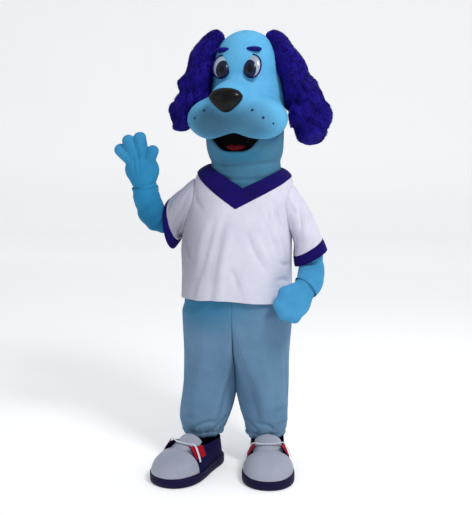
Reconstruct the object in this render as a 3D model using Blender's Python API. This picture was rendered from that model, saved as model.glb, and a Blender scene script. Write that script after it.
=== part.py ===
"""Dog mascot costume, filled out as if worn: head, shirt, trousers, sleeved arms, mitts and shoes.

Lengths are metres. Every height in the tables is a height above the floor, and the whole costume
hangs from one empty, so that its origin lies in the neck opening between the shoulders.
The costume faces -Y, and left and right are those of someone who looks at its front.
"""

import math

import bpy
import bmesh
import numpy as np
from mathutils import Matrix, Vector

NECK_ORIGIN_HEIGHT = 1.36
SEAM_GAP = 0.0003
SHIRT_WALL = 0.0025
RIB_WALL = 0.003
PLUSH_WALL = 0.003
FOAM_WALL = 0.012
HEM_HEIGHT = 0.775
V_TIP_HEIGHT = 1.205
NECK_CORNER_HEIGHT = 1.352
BACK_NECK_HEIGHT = 1.375
COLLAR_TIP_HEIGHT = 1.295
COLLAR_CORNER_HEIGHT = 1.388
HEAD_PLACE = Vector((0.036, 0.0, 0.0))
HEAD_YAW = math.radians(-11)
LIP_HEIGHT = 1.448

# Torso of the shirt, by height.
SHIRT = {
    "at": [0.70, 0.78, 0.90, 1.05, 1.15, 1.25, 1.31, 1.36, 1.42],
    "half_width": [0.259, 0.259, 0.256, 0.253, 0.249, 0.240, 0.229, 0.214, 0.196],
    "half_depth": [0.212, 0.214, 0.217, 0.211, 0.200, 0.186, 0.176, 0.166, 0.156],
    "middle_x": [-0.006, -0.006, -0.006, -0.004, 0.002, 0.016, 0.024, 0.028, 0.030],
    "middle_y": [0.000, 0.000, 0.000, 0.004, 0.008, 0.012, 0.014, 0.016, 0.018],
}

# Soft folds of the shirt, each from one place to another: angle in degrees (270 is the front
# middle), height, width across and how far it stands out or in.
SHIRT_FOLDS = [
    {"from": (233, 1.17), "to": (228, 0.78), "width": 0.020, "depth": -0.010},
    {"from": (246, 1.10), "to": (243, 0.78), "width": 0.018, "depth": 0.007},
    {"from": (318, 1.16), "to": (290, 1.02), "width": 0.020, "depth": -0.009},
    {"from": (330, 1.05), "to": (302, 0.92), "width": 0.022, "depth": -0.008},
    {"from": (300, 0.90), "to": (306, 0.77), "width": 0.020, "depth": 0.007},
    {"from": (205, 1.08), "to": (222, 0.95), "width": 0.020, "depth": -0.007},
    {"from": (60, 1.20), "to": (72, 0.80), "width": 0.026, "depth": -0.009},
    {"from": (125, 1.20), "to": (112, 0.80), "width": 0.026, "depth": -0.008},
    {"from": (92, 1.02), "to": (90, 0.77), "width": 0.024, "depth": 0.007},
]

# Sleeves, from inside the torso to the open end of the cuff: the ring's highest and lowest points
# as seen from the front, its middle's depth, its half depth and how far its front edge is turned.
SLEEVE_RIGHT = {
    "at": [-0.30, 0.0, 0.5, 1.0, 1.3],
    "top_x": [0.165, 0.222, 0.318, 0.388, 0.410],
    "top_z": [1.300, 1.325, 1.215, 1.066, 1.016],
    "low_x": [0.175, 0.222, 0.257, 0.261, 0.267],
    "low_z": [1.120, 1.105, 1.045, 0.980, 0.934],
    "middle_y": [0.012, 0.012, 0.000, -0.014, -0.020],
    "half_depth": [0.108, 0.108, 0.100, 0.092, 0.090],
    "turn": [0.0, 0.0, 0.01, 0.02, 0.02],
}
SLEEVE_LEFT = {
    "at": [-0.30, 0.0, 0.5, 1.0, 1.3],
    "top_x": [-0.150, -0.192, -0.262, -0.310, -0.322],
    "top_z": [1.300, 1.330, 1.285, 1.242, 1.230],
    "low_x": [-0.170, -0.212, -0.263, -0.272, -0.302],
    "low_z": [1.110, 1.092, 1.068, 1.047, 1.005],
    "middle_y": [0.012, 0.012, 0.004, -0.004, -0.008],
    "half_depth": [0.108, 0.108, 0.102, 0.096, 0.094],
    "turn": [0.0, 0.0, -0.01, -0.02, -0.02],
}

# Hips of the trousers, by height.
HIPS = {
    "at": [0.10, 0.40, 0.55, 0.70, 0.76, 0.80, 0.92],
    "half_width": [0.244, 0.245, 0.250, 0.257, 0.255, 0.255, 0.252],
    "half_depth": [0.170, 0.185, 0.200, 0.208, 0.210, 0.211, 0.212],
    "middle_x": [-0.010, -0.010, -0.007, -0.004, -0.005, -0.006, -0.006],
}

# One trouser leg, by height: share of hips against leg, then the leg's own oval.
LEG_LEFT = {
    "at": [0.135, 0.155, 0.19, 0.24, 0.33, 0.40, 0.48, 0.58, 0.68, 0.78, 0.92],
    "hips": [0.0, 0.0, 0.0, 0.0, 0.05, 0.20, 0.45, 0.75, 0.95, 1.0, 1.0],
    "middle_x": [-0.160, -0.160, -0.157, -0.150, -0.141, -0.138, -0.135, -0.130, -0.125, -0.125, -0.125],
    "middle_y": [-0.050, -0.050, -0.044, -0.032, -0.018, -0.008, 0.0, 0.0, 0.0, 0.0, 0.0],
    "half_width": [0.087, 0.094, 0.110, 0.120, 0.125, 0.126, 0.126, 0.125, 0.125, 0.125, 0.125],
    "half_depth": [0.088, 0.094, 0.112, 0.128, 0.142, 0.152, 0.165, 0.180, 0.190, 0.200, 0.200],
}
LEG_RIGHT = {
    "at": [0.135, 0.155, 0.19, 0.24, 0.33, 0.40, 0.48, 0.58, 0.68, 0.78, 0.92],
    "hips": [0.0, 0.0, 0.0, 0.0, 0.05, 0.20, 0.45, 0.75, 0.95, 1.0, 1.0],
    "middle_x": [0.136, 0.137, 0.138, 0.134, 0.128, 0.126, 0.124, 0.125, 0.125, 0.125, 0.125],
    "middle_y": [-0.050, -0.050, -0.044, -0.032, -0.018, -0.008, 0.0, 0.0, 0.0, 0.0, 0.0],
    "half_width": [0.082, 0.088, 0.097, 0.108, 0.121, 0.124, 0.124, 0.125, 0.125, 0.125, 0.125],
    "half_depth": [0.084, 0.089, 0.104, 0.122, 0.140, 0.152, 0.165, 0.180, 0.190, 0.200, 0.200],
}
GATHERS = 8

# Neck and jaw of the head, by height, about the head's own middle.
NECK = {
    "at": [1.22, 1.30, 1.38, 1.41, 1.43, 1.46, 1.50, 1.60],
    "half_width": [0.166, 0.163, 0.159, 0.158, 0.164, 0.171, 0.174, 0.174],
    "half_depth": [0.152, 0.152, 0.150, 0.150, 0.156, 0.166, 0.172, 0.160],
    "middle_y": [0.010, 0.008, 0.004, 0.000, -0.004, -0.010, -0.016, 0.000],
}

# Egg shapes that make up the head, in the head's own frame.
HEAD_CENTRE = (0.0, -0.05, 1.66)
HEAD_EGGS = [
    {"middle": (0.0, 0.020, 1.838), "half": (0.152, 0.165, 0.158)},
    {"middle": (0.0, 0.030, 1.700), "half": (0.172, 0.165, 0.170)},
    {"middle": (0.104, -0.125, 1.600), "half": (0.119, 0.135, 0.092)},
    {"middle": (-0.104, -0.125, 1.600), "half": (0.119, 0.135, 0.092)},
    {"middle": (0.0, -0.145, 1.685), "half": (0.100, 0.150, 0.082)},
    {"middle": (0.0, 0.015, 1.585), "half": (0.172, 0.165, 0.110)},
]

# Ears, from the root down, in the costume's frame: the middle of each section and its half sizes.
EAR_RIGHT = {
    "at": [0.0, 0.10, 0.22, 0.36, 0.50, 0.66, 0.80, 0.92, 1.0],
    "x": [0.130, 0.170, 0.204, 0.242, 0.274, 0.308, 0.330, 0.339, 0.346],
    "y": [0.020, 0.015, 0.010, 0.000, -0.005, -0.010, -0.015, -0.015, -0.015],
    "z": [1.984, 1.948, 1.887, 1.812, 1.740, 1.665, 1.595, 1.530, 1.486],
    "half_width": [0.026, 0.048, 0.062, 0.070, 0.078, 0.090, 0.087, 0.072, 0.036],
    "half_depth": [0.035, 0.065, 0.085, 0.095, 0.100, 0.100, 0.092, 0.075, 0.035],
}
EAR_LEFT = {
    "at": [0.0, 0.10, 0.22, 0.36, 0.50, 0.66, 0.80, 0.92, 1.0],
    "x": [-0.066, -0.100, -0.142, -0.168, -0.192, -0.222, -0.243, -0.248, -0.246],
    "y": [-0.005, -0.010, -0.020, -0.030, -0.040, -0.045, -0.050, -0.050, -0.050],
    "z": [1.980, 1.955, 1.893, 1.820, 1.750, 1.680, 1.620, 1.572, 1.546],
    "half_width": [0.026, 0.046, 0.060, 0.062, 0.062, 0.060, 0.052, 0.040, 0.018],
    "half_depth": [0.035, 0.065, 0.085, 0.095, 0.098, 0.092, 0.080, 0.060, 0.025],
}

# Digits of a mitt, in its own frame: the wrist is at the origin, the fingers point up and the
# thumb is at +X.
DIGITS = [
    {"root": (-0.040, 0.0, 0.110), "tip": (-0.094, -0.006, 0.178), "radius": 0.0285},
    {"root": (-0.022, 0.0, 0.120), "tip": (-0.052, -0.010, 0.216), "radius": 0.0290},
    {"root": (0.006, 0.0, 0.120), "tip": (0.002, -0.006, 0.226), "radius": 0.0290},
    {"root": (0.020, -0.004, 0.080), "tip": (0.056, -0.014, 0.166), "radius": 0.0270},
]
FOLDED_DIGITS = [
    {"root": (-0.036, 0.0, 0.080), "tip": (-0.052, 0.002, 0.140), "radius": 0.0300},
    {"root": (-0.006, 0.0, 0.085), "tip": (-0.010, 0.002, 0.162), "radius": 0.0310},
    {"root": (0.026, 0.0, 0.080), "tip": (0.034, 0.000, 0.150), "radius": 0.0300},
    {"root": (0.034, -0.004, 0.060), "tip": (0.060, -0.012, 0.100), "radius": 0.0250},
]

# Shoe, in its own frame: the toe points along -Y and the middle of the sole is at the origin.
SHOE_LENGTH = 0.43
SOLE_HEIGHT = 0.044
LACE_THICK = 0.0022
SOLE_OUTLINE = {
    "at": [-0.215, -0.204, -0.165, -0.095, 0.0, 0.090, 0.155, 0.200, 0.215],
    "half_width": [0.004, 0.050, 0.096, 0.117, 0.107, 0.090, 0.082, 0.054, 0.004],
}

for old in list(bpy.data.objects):
    bpy.data.objects.remove(old, do_unlink=True)


def column(table, name, at):
    """One column of a table at any place: a cubic through its rows, flat beyond its ends."""
    place = np.array(table["at"], float)
    value = np.array(table[name], float)
    slope = np.gradient(value, place)
    row = np.clip(np.searchsorted(place, at) - 1, 0, len(place) - 2)
    step = place[row + 1] - place[row]
    t = np.clip((at - place[row]) / step, 0, 1)
    return (
        (2 * t**3 - 3 * t**2 + 1) * value[row]
        + (t**3 - 2 * t**2 + t) * step * slope[row]
        + (3 * t**2 - 2 * t**3) * value[row + 1]
        + (t**3 - t**2) * step * slope[row + 1]
    )


def stack(x, y, z):
    return np.stack(np.broadcast_arrays(x, y, z), axis=-1)


def material(name, colour, roughness, metallic=0.0):
    made = bpy.data.materials.new(name)
    made.use_nodes = True
    shader = made.node_tree.nodes["Principled BSDF"]
    shader.inputs["Base Color"].default_value = (*colour, 1.0)
    shader.inputs["Roughness"].default_value = roughness
    shader.inputs["Metallic"].default_value = metallic
    return made


WHITE_JERSEY = material("white jersey", (0.80, 0.80, 0.86), 0.85)
NAVY_RIB = material("navy rib", (0.010, 0.006, 0.11), 0.80)
SKY_PLUSH = material("sky blue plush", (0.13, 0.47, 0.80), 0.95)
GREY_PLUSH = material("grey blue fleece", (0.17, 0.38, 0.60), 0.95)
EAR_FUR = material("royal blue fur", (0.012, 0.008, 0.24), 0.90)
BLACK_GLOSS = material("black gloss", (0.010, 0.010, 0.012), 0.15)
BLACK_CLOTH = material("black cloth", (0.006, 0.006, 0.007), 0.95)
RED_FELT = material("red felt", (0.55, 0.02, 0.03), 0.80)
EYE_WHITE = material("eye white", (0.85, 0.87, 0.90), 0.25)
CANVAS_WHITE = material("white vinyl", (0.62, 0.62, 0.72), 0.55)
NAVY_CANVAS = material("navy canvas", (0.012, 0.007, 0.10), 0.80)
LACE_WHITE = material("white lace", (0.82, 0.82, 0.86), 0.80)

root = bpy.data.objects.new("costume", None)
bpy.context.scene.collection.objects.link(root)
root.location = (0, 0, -NECK_ORIGIN_HEIGHT)
head_place = bpy.data.objects.new("head_place", None)
bpy.context.scene.collection.objects.link(head_place)
head_place.parent = root
head_place.location = HEAD_PLACE
head_place.rotation_euler = (0, 0, HEAD_YAW)


def add(name, points, faces, look, parent=root):
    """A named object of one closed mesh, with its faces turned out and its round parts smooth."""
    mesh = bpy.data.meshes.new(name)
    mesh.from_pydata([tuple(point) for point in points], [], faces)
    work = bmesh.new()
    work.from_mesh(mesh)
    bmesh.ops.remove_doubles(work, verts=work.verts, dist=1e-6)
    bmesh.ops.triangulate(work, faces=[face for face in work.faces if len(face.verts) > 4])
    bmesh.ops.recalc_face_normals(work, faces=work.faces)
    if work.calc_volume(signed=True) < 0:
        bmesh.ops.reverse_faces(work, faces=work.faces)
    work.to_mesh(mesh)
    work.free()
    mesh.shade_smooth()
    mesh.set_sharp_from_angle(angle=math.radians(50))
    mesh.materials.append(look)
    made = bpy.data.objects.new(name, mesh)
    bpy.context.scene.collection.objects.link(made)
    made.parent = parent
    return made


def guide(name, points, faces, parent=root):
    made = add(name, points, faces, NAVY_RIB, parent)
    made.hide_render = True
    made.display_type = "WIRE"
    return made


def cut(piece, cutter, operation="DIFFERENCE", solver="EXACT"):
    modifier = piece.modifiers.new(f"{operation.lower()} {cutter.name}", "BOOLEAN")
    modifier.operation = operation
    modifier.solver = solver
    modifier.object = cutter
    return piece


def grid_faces(rows, columns, around, start=0, flip=False):
    """Triangles of a grid of points; with around, the last column joins the first."""
    row = np.arange(rows - 1)[:, None]
    col = np.arange(columns if around else columns - 1)[None, :]
    after = (col + 1) % columns
    below = row * columns
    above = below + columns
    corners = [below + col, below + after, above + after, above + col]
    lower = np.stack([corners[0], corners[1], corners[2]], axis=-1).reshape(-1, 3)
    upper = np.stack([corners[0], corners[2], corners[3]], axis=-1).reshape(-1, 3)
    faces = np.concatenate([lower, upper])
    return ((faces[:, ::-1] if flip else faces) + start).tolist()


def wall(outer, inner, around):
    """Points and faces of a closed wall between two grids, with rims along its open edges."""
    rows, columns = outer.shape[:2]
    count = rows * columns
    faces = grid_faces(rows, columns, around) + grid_faces(rows, columns, around, count, True)
    index = np.arange(count).reshape(rows, columns)
    rims = [index[0, ::-1], index[-1]]
    if around:
        rims = [np.append(rim, rim[0]) for rim in rims]
    else:
        rims += [index[:, 0], index[::-1, -1]]
    for rim in rims:
        faces += np.stack([rim[:-1], rim[:-1] + count, rim[1:] + count, rim[1:]], axis=-1).tolist()
    return np.concatenate([outer.reshape(-1, 3), inner.reshape(-1, 3)]), faces


def solid(rings):
    """Points and faces of a closed body through rings, with a fan over each end."""
    rows, columns = rings.shape[:2]
    faces = grid_faces(rows, columns, True)
    first, last = rows * columns, rows * columns + 1
    for col in range(columns):
        after = (col + 1) % columns
        faces.append([first, after, col])
        faces.append([last, (rows - 1) * columns + col, (rows - 1) * columns + after])
    ends = [rings[0].mean(axis=0), rings[-1].mean(axis=0)]
    return np.concatenate([rings.reshape(-1, 3), ends]), faces


def angles(count, first=0.0, last=360.0, around=True):
    return np.radians(np.linspace(first, last, count, endpoint=not around))


def folds(table, angle, height, around_radius):
    """How far soft folds push a surface out: each is a bell across a straight line on it."""
    total = np.zeros(np.broadcast(angle, height).shape)
    for row in table:
        a0, h0 = math.radians(row["from"][0]), row["from"][1]
        a1, h1 = math.radians(row["to"][0]), row["to"][1]
        px = (angle % (2 * math.pi) - a0) * around_radius
        pz = height - h0
        dx, dz = (a1 - a0) * around_radius, h1 - h0
        t = np.clip((px * dx + pz * dz) / (dx * dx + dz * dz), 0, 1)
        away = np.hypot(px - t * dx, pz - t * dz)
        total = total + row["depth"] * np.exp(-((away / row["width"]) ** 2))
    return total


def oval(angle, half_width, half_depth, power=2.0):
    """An oval's points about its middle; a power over 2 squares its corners off."""
    c, s = np.cos(angle), np.sin(angle)
    reach = (np.abs(c) ** power + np.abs(s) ** power) ** (-1 / power)
    return half_width * reach * c, half_depth * reach * s


def shirt_point(angle, height, out=0.0):
    push = folds(SHIRT_FOLDS, angle, height, 0.235) + out
    x, y = oval(
        angle,
        column(SHIRT, "half_width", height) + push,
        column(SHIRT, "half_depth", height) + push,
        2.25,
    )
    return stack(x + column(SHIRT, "middle_x", height), y + column(SHIRT, "middle_y", height), height)


def hem_height(angle):
    """The hem lies a little higher in front and lower at the right side."""
    return HEM_HEIGHT + 0.020 * np.clip(-np.sin(angle), 0, 1) ** 2 - 0.010 * np.cos(angle)


def neckline_height(angle, tip, corner, back):
    """Straight down to the V in front, and a shallow rise to the back."""
    side = np.abs(np.cos(angle))
    front = tip + (corner - tip) * side
    behind = back + (corner - back) * side
    return np.where(np.sin(angle) < 0, front, behind) - 0.010 * np.cos(angle)


def shirt_grid(angle, rows, out=0.0):
    low = hem_height(angle)
    high = neckline_height(angle, V_TIP_HEIGHT, NECK_CORNER_HEIGHT, BACK_NECK_HEIGHT)
    share = np.linspace(0, 1, rows)[:, None]
    height = low[None, :] + share * (high - low)[None, :]
    return shirt_point(angle[None, :], height, out)


def sleeve_point(table, angle, at, out=0.0):
    """A ring between a highest and a lowest point, with its wall moved out by the same amount."""
    middle_x = (column(table, "top_x", at) + column(table, "low_x", at)) / 2
    middle_z = (column(table, "top_z", at) + column(table, "low_z", at)) / 2
    up_x = column(table, "top_x", at) - middle_x
    up_z = column(table, "top_z", at) - middle_z
    size = np.hypot(up_x, up_z)
    grow = 1 + out / size
    depth = column(table, "half_depth", at) + out
    c, s = np.cos(angle), np.sin(angle)
    x = middle_x + up_x * grow * c + column(table, "turn", at) * s
    y = column(table, "middle_y", at) - depth * s
    z = middle_z + up_z * grow * c
    return stack(x, y, z)


def hips_point(angle, height, out=0.0):
    """The hips' oval; from just under the shirt's hem up it lies inside the shirt's deepest folds."""
    push = np.zeros(np.broadcast(angle, height).shape) + out
    x, y = oval(
        angle,
        column(HIPS, "half_width", height) + push,
        column(HIPS, "half_depth", height) + push,
        2.25,
    )
    own = stack(x + column(HIPS, "middle_x", height), y, height)
    inside = out - SHIRT_WALL - 0.0088
    under_x, under_y = oval(
        angle,
        column(SHIRT, "half_width", height) + inside,
        column(SHIRT, "half_depth", height) + inside,
        2.25,
    )
    under = stack(
        under_x + column(SHIRT, "middle_x", height),
        under_y + column(SHIRT, "middle_y", height),
        height,
    )
    share = np.clip((height - 0.70) / 0.055, 0, 1)[..., None]
    share = share * share * (3 - 2 * share)
    return own * (1 - share) + under * share


def leg_point(table, angle, height, out=0.0):
    """One half of the trousers: the hips' outer half above, blended into a leg's own oval."""
    side = 1.0 if table is LEG_RIGHT else -1.0
    share = column(table, "hips", height)
    turned = np.where(side > 0, angle, math.pi - angle)
    c, s = np.cos(angle), np.sin(angle)
    half = hips_point(turned, height, out)
    outward = c > 0
    middle = column(HIPS, "middle_x", height)
    seam_y = hips_point(np.where(s > 0, math.pi / 2, 3 * math.pi / 2), height, out)[..., 1]
    half_x = np.where(outward, half[..., 0], -side * 0.06 * np.abs(c) + middle * 0)
    half_y = np.where(outward, half[..., 1], seam_y * np.abs(s))
    gather = 0.004 * np.cos(GATHERS * angle) * np.clip((0.20 - height) / 0.05, 0, 1)
    crease = 0.006 * np.cos(3 * angle + 9 * height) * np.clip((0.70 - height) / 0.2, 0, 1)
    reach = out + gather + crease * np.clip((height - 0.16) / 0.1, 0, 1)
    x = column(table, "middle_x", height) + side * (column(table, "half_width", height) + reach) * c
    y = column(table, "middle_y", height) + (column(table, "half_depth", height) + reach) * s
    return stack(share * half_x + (1 - share) * x, share * half_y + (1 - share) * y, height)


def neck_point(angle, height, out=0.0):
    push = 0.0 * angle + out
    x, y = oval(
        angle,
        column(NECK, "half_width", height) + push,
        column(NECK, "half_depth", height) + push,
        2.2,
    )
    return stack(x, y + column(NECK, "middle_y", height), height + 0 * angle)


def head_point(azimuth, polar, out=0.0):
    """Where a ray from the head's centre leaves the smooth union of the head's eggs."""
    ray = stack(np.cos(azimuth) * np.sin(polar), np.sin(azimuth) * np.sin(polar), np.cos(polar))
    near = np.full(ray.shape[:-1], 0.05)
    far = np.full(ray.shape[:-1], 0.60)
    for _ in range(40):
        half = (near + far) / 2
        place = np.array(HEAD_CENTRE) + ray * half[..., None]
        inside = head_field(place) < 0
        near = np.where(inside, half, near)
        far = np.where(inside, far, half)
    return np.array(HEAD_CENTRE) + ray * (near + out)[..., None]


def head_field(place):
    """Below zero inside the head: the eggs' distances joined softly."""
    total = 0.0
    for egg in HEAD_EGGS:
        offset = (place - np.array(egg["middle"])) / np.array(egg["half"])
        length = np.sqrt((offset**2).sum(axis=-1))
        distance = (length - 1) * min(egg["half"])
        total = total + np.exp(-distance / 0.016)
    return -0.016 * np.log(total)


# Shirt: a front and a back, joined at the side seams.
inside_gap = SEAM_GAP / 2 / 0.25
front_angle = angles(27, 180, 360, around=False)
front_angle[0] += inside_gap
front_angle[-1] -= inside_gap
back_angle = angles(15, 0, 180, around=False)
back_angle[0] += inside_gap
back_angle[-1] -= inside_gap
front_wall = wall(shirt_grid(front_angle, 10), shirt_grid(front_angle, 10, -SHIRT_WALL), False)
back_wall = wall(shirt_grid(back_angle, 10), shirt_grid(back_angle, 10, -SHIRT_WALL), False)
shirt_front = add("shirt_front", *front_wall, WHITE_JERSEY)
shirt_back = add("shirt_back", *back_wall, WHITE_JERSEY)

round_angle = np.concatenate([back_angle[:-1], front_angle[:-1]])
torso_form = guide("torso_form", *solid(shirt_grid(round_angle, 10, 1.5 * SEAM_GAP)))

# Sleeves and their cuffs. Each sleeve butts against the torso, which is open inside it.
ring_angle = angles(18)
for side, table in (("left", SLEEVE_LEFT), ("right", SLEEVE_RIGHT)):
    at = np.linspace(-0.2, 1.0, 6)[:, None]
    sleeve = add(
        f"sleeve_{side}",
        *wall(sleeve_point(table, ring_angle, at), sleeve_point(table, ring_angle, at, -SHIRT_WALL), True),
        WHITE_JERSEY,
    )
    cut(sleeve, torso_form)
    hole_at = np.array([-0.25, 0.0, 0.4])[:, None]
    hole_form = solid(sleeve_point(table, ring_angle, hole_at, -SHIRT_WALL))
    armhole = guide(f"armhole_{side}", *hole_form)
    cut(shirt_front, armhole)
    cut(shirt_back, armhole)
    cuff_at = np.array([1.004, 1.3])[:, None]
    cuff_outer = sleeve_point(table, ring_angle, cuff_at, 0.001)
    cuff_inner = sleeve_point(table, ring_angle, cuff_at, 0.001 - RIB_WALL)
    add(f"cuff_{side}", *wall(cuff_outer, cuff_inner, True), NAVY_RIB)

# Collar: a band from the neckline up to the neck, on which its inner edge rests.
collar_angle = round_angle
neckline = neckline_height(collar_angle, V_TIP_HEIGHT, NECK_CORNER_HEIGHT, BACK_NECK_HEIGHT)
collar_low = shirt_point(collar_angle, neckline + 0.0007)
collar_back = COLLAR_CORNER_HEIGHT + 0.02
inner_height = neckline_height(collar_angle, COLLAR_TIP_HEIGHT, COLLAR_CORNER_HEIGHT, collar_back)
turn = Matrix.Rotation(HEAD_YAW, 3, "Z")


def on_neck(angle, height, out):
    """The neck's surface in the costume's frame."""
    flat = neck_point(angle - HEAD_YAW, height, out).reshape(-1, 3) @ np.array(turn).T
    return (flat + np.array(HEAD_PLACE)).reshape(*np.broadcast(angle, height).shape, 3)


collar_high = on_neck(collar_angle, inner_height, RIB_WALL + 0.0040)
share = np.array([0.0, 0.5, 1.0])[:, None, None]
collar_outer = collar_low * (1 - share) + collar_high * share
collar_outer[1] += 0.0043 * stack(np.cos(collar_angle), np.sin(collar_angle), 1.0)
inward = stack(-np.cos(collar_angle), -np.sin(collar_angle), -0.15)
collar_inner = collar_outer + RIB_WALL * inward
add("collar", *wall(collar_outer, collar_inner, True), NAVY_RIB)

# Trousers: two halves joined at the middle seam. Each is cut at the middle plane, where the
# inner side of its leg comes out of the other half.
leg_angle = angles(24)
leg_height = np.array([0.135, 0.150, 0.175, 0.21, 0.27, 0.34, 0.41, 0.48, 0.56, 0.65, 0.74, 0.78, 0.88])
box_corners = ((-0.2, -0.4), (0.0, -0.4), (0.0, 0.4), (-0.2, 0.4))
for side, table, sign in (("left", LEG_LEFT, -1), ("right", LEG_RIGHT, 1)):
    outer = leg_point(table, leg_angle[None, :], leg_height[:, None])
    inner = leg_point(table, leg_angle[None, :], leg_height[:, None], -PLUSH_WALL)
    trousers = add(f"trousers_{side}", *wall(outer, inner, True), GREY_PLUSH)
    middle = -0.004 + sign * SEAM_GAP / 2
    box = np.array([[[x * sign + middle, y, z] for x, y in box_corners] for z in (0.0, 1.2)])
    cut(trousers, guide(f"other_half_{side}", *solid(box)), solver="MANIFOLD")

# Head: foam under plush, open below.
head_azimuth = angles(24)
polar = np.radians([0.6, 13, 25, 37, 49, 60, 71, 81, 91, 100, 108, 117, 126, 134])[:, None]
head_outer = head_point(head_azimuth, polar)
head_inner = head_point(head_azimuth, polar, -FOAM_WALL)


def dome(outer, inner):
    """A closed wall between two caps, whose small first rings are closed by one face each."""
    rows, columns = outer.shape[:2]
    count = rows * columns
    points, faces = wall(outer, inner, True)
    keep = [face for face in faces if len(face) == 3 or min(face) >= columns]
    keep.append(list(range(columns))[::-1])
    keep.append([count + col for col in range(columns)])
    return points, keep


add("head_shell", *dome(head_outer, head_inner), SKY_PLUSH, head_place)
form_polar = np.concatenate([polar, np.radians([[150], [179]])])
head_form = guide("head_form", *solid(head_point(head_azimuth, form_polar, 2 * SEAM_GAP)), head_place)

# Neck and jaw: a plush tube that ends against the head, with the open mouth in front.
neck_angle = angles(24)
front_share = np.clip((-np.sin(neck_angle) - 0.55) / 0.40, 0, 1)
front_share = front_share * front_share * (3 - 2 * front_share)
neck_top = 1.585 - (1.585 - LIP_HEIGHT) * front_share
neck_share = np.array([0, 0.4, 0.54, 0.64, 0.78, 0.9, 1.0])[:, None]
neck_height = 1.235 + neck_share * (neck_top - 1.235)
neck = add(
    "neck",
    *wall(neck_point(neck_angle, neck_height), neck_point(neck_angle, neck_height, -PLUSH_WALL), True),
    SKY_PLUSH,
    head_place,
)
cut(neck, head_form, solver="MANIFOLD")

# Mouth: a black bowl behind the lip and a tongue on it.
bowl_angle = angles(9, 210, 330, around=False)
bowl_height = np.linspace(1.415, 1.60, 6)[:, None]
bowl_side = np.cos(np.linspace(-math.pi / 2, math.pi / 2, 9))
bowl_rise = np.sin(np.linspace(0.0, 0.85 * math.pi, 6))[:, None]


def bowl_point(out):
    base = neck_point(bowl_angle, bowl_height, -PLUSH_WALL - 0.0017 + out)
    base[..., 1] += 0.085 * bowl_side * bowl_rise
    return base


lining = add("mouth_lining", *wall(bowl_point(0.0), bowl_point(-0.002), False), BLACK_CLOTH, head_place)
cut(lining, head_form)

tongue_rows = {
    "at": [0.0, 0.2, 0.5, 0.8, 1.0],
    "y": [-0.1232, -0.129, -0.143, -0.156, -0.162],
    "z": [1.462, 1.470, 1.478, 1.474, 1.466],
    "half_width": [0.030, 0.040, 0.044, 0.036, 0.016],
    "half_height": [0.006, 0.009, 0.010, 0.008, 0.004],
}
tongue_at = np.linspace(0, 1, 6)[:, None]
tongue_angle = angles(10)[None, :]
tongue_rise = column(tongue_rows, "half_height", tongue_at) * np.sin(tongue_angle)
tongue = solid(
    stack(
        column(tongue_rows, "half_width", tongue_at) * np.cos(tongue_angle),
        column(tongue_rows, "y", tongue_at) + 0 * tongue_angle,
        column(tongue_rows, "z", tongue_at) + tongue_rise,
    )
)
add("mouth_tongue", *tongue, RED_FELT, head_place)


def egg(middle, half, rows, columns, tilt=0.0):
    """An egg-shaped solid's points and faces, leaning back by the tilt about X."""
    polar_angle = np.linspace(0.18, math.pi - 0.18, rows)[:, None]
    azimuth = angles(columns)[None, :]
    x = half[0] * np.sin(polar_angle) * np.cos(azimuth)
    y = half[1] * np.sin(polar_angle) * np.sin(azimuth)
    z = half[2] * np.cos(polar_angle) + 0 * azimuth
    lean_y = y * math.cos(tilt) - z * math.sin(tilt)
    lean_z = y * math.sin(tilt) + z * math.cos(tilt)
    return solid(stack(x + middle[0], lean_y + middle[1], lean_z + middle[2]))


# Face: a padded nose, and plain oval eyes with round pupils under soft brow pads.
nose_form = guide("nose_form", *egg((0.0, -0.284, 1.676), (0.0763, 0.0403, 0.0543), 8, 14), head_place)
nose = add("nose", *egg((0.0, -0.284, 1.676), (0.076, 0.040, 0.054), 8, 14), BLACK_GLOSS, head_place)
cut(nose, head_form)
for side, sign in (("left", -1), ("right", 1)):
    eye_place = (0.070 * sign, -0.126, 1.822)
    pupil_place = (0.064 * sign, -0.141, 1.812)
    brow_place = (0.070 * sign, -0.112, 1.898)
    eye_egg = egg(eye_place, (0.040, 0.022, 0.052), 7, 12, -0.25)
    form_egg = egg(eye_place, (0.0404, 0.0224, 0.0524), 7, 12, -0.25)
    pupil_egg = egg(pupil_place, (0.022, 0.012, 0.028), 6, 10, -0.25)
    brow_egg = egg(brow_place, (0.036, 0.022, 0.010), 5, 10, -0.2)
    eye = add(f"eye_{side}", *eye_egg, EYE_WHITE, head_place)
    cut(eye, head_form)
    eye_form = guide(f"eye_form_{side}", *form_egg, head_place)
    pupil = add(f"pupil_{side}", *pupil_egg, BLACK_GLOSS, head_place)
    cut(pupil, eye_form)
    brow = add(f"brow_{side}", *brow_egg, EAR_FUR, head_place)
    cut(brow, head_form)
    cut(brow, eye_form)

# Ears: long stuffed flaps with waved, curly sides.


def ear_rings(table, rows, columns, side, depth=0.010):
    at = np.linspace(0, 1, rows)[:, None]
    angle = angles(columns)[None, :]
    along_x = np.gradient(column(table, "x", at[:, 0]))[:, None]
    along_z = np.gradient(column(table, "z", at[:, 0]))[:, None]
    length = np.hypot(along_x, along_z)
    across_x, across_z = -along_z / length, along_x / length
    wave = depth * np.sin(26 * at + 2.0 * angle) + 0.7 * depth * np.sin(3 * angle - 17 * at + side)
    wave = wave * np.clip((at - 0.05) * 1.6, 0, 1)
    width = column(table, "half_width", at) + wave
    depth_y = column(table, "half_depth", at) + wave
    return stack(
        column(table, "x", at) + across_x * width * np.cos(angle),
        column(table, "y", at) + depth_y * np.sin(angle),
        column(table, "z", at) + across_z * width * np.cos(angle),
    )


for side, table, sign in (("left", EAR_LEFT, 0.0), ("right", EAR_RIGHT, 2.0)):
    ear = add(f"ear_{side}", *solid(ear_rings(table, 14, 14, sign)), EAR_FUR)
    cut(ear, head_form)


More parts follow.
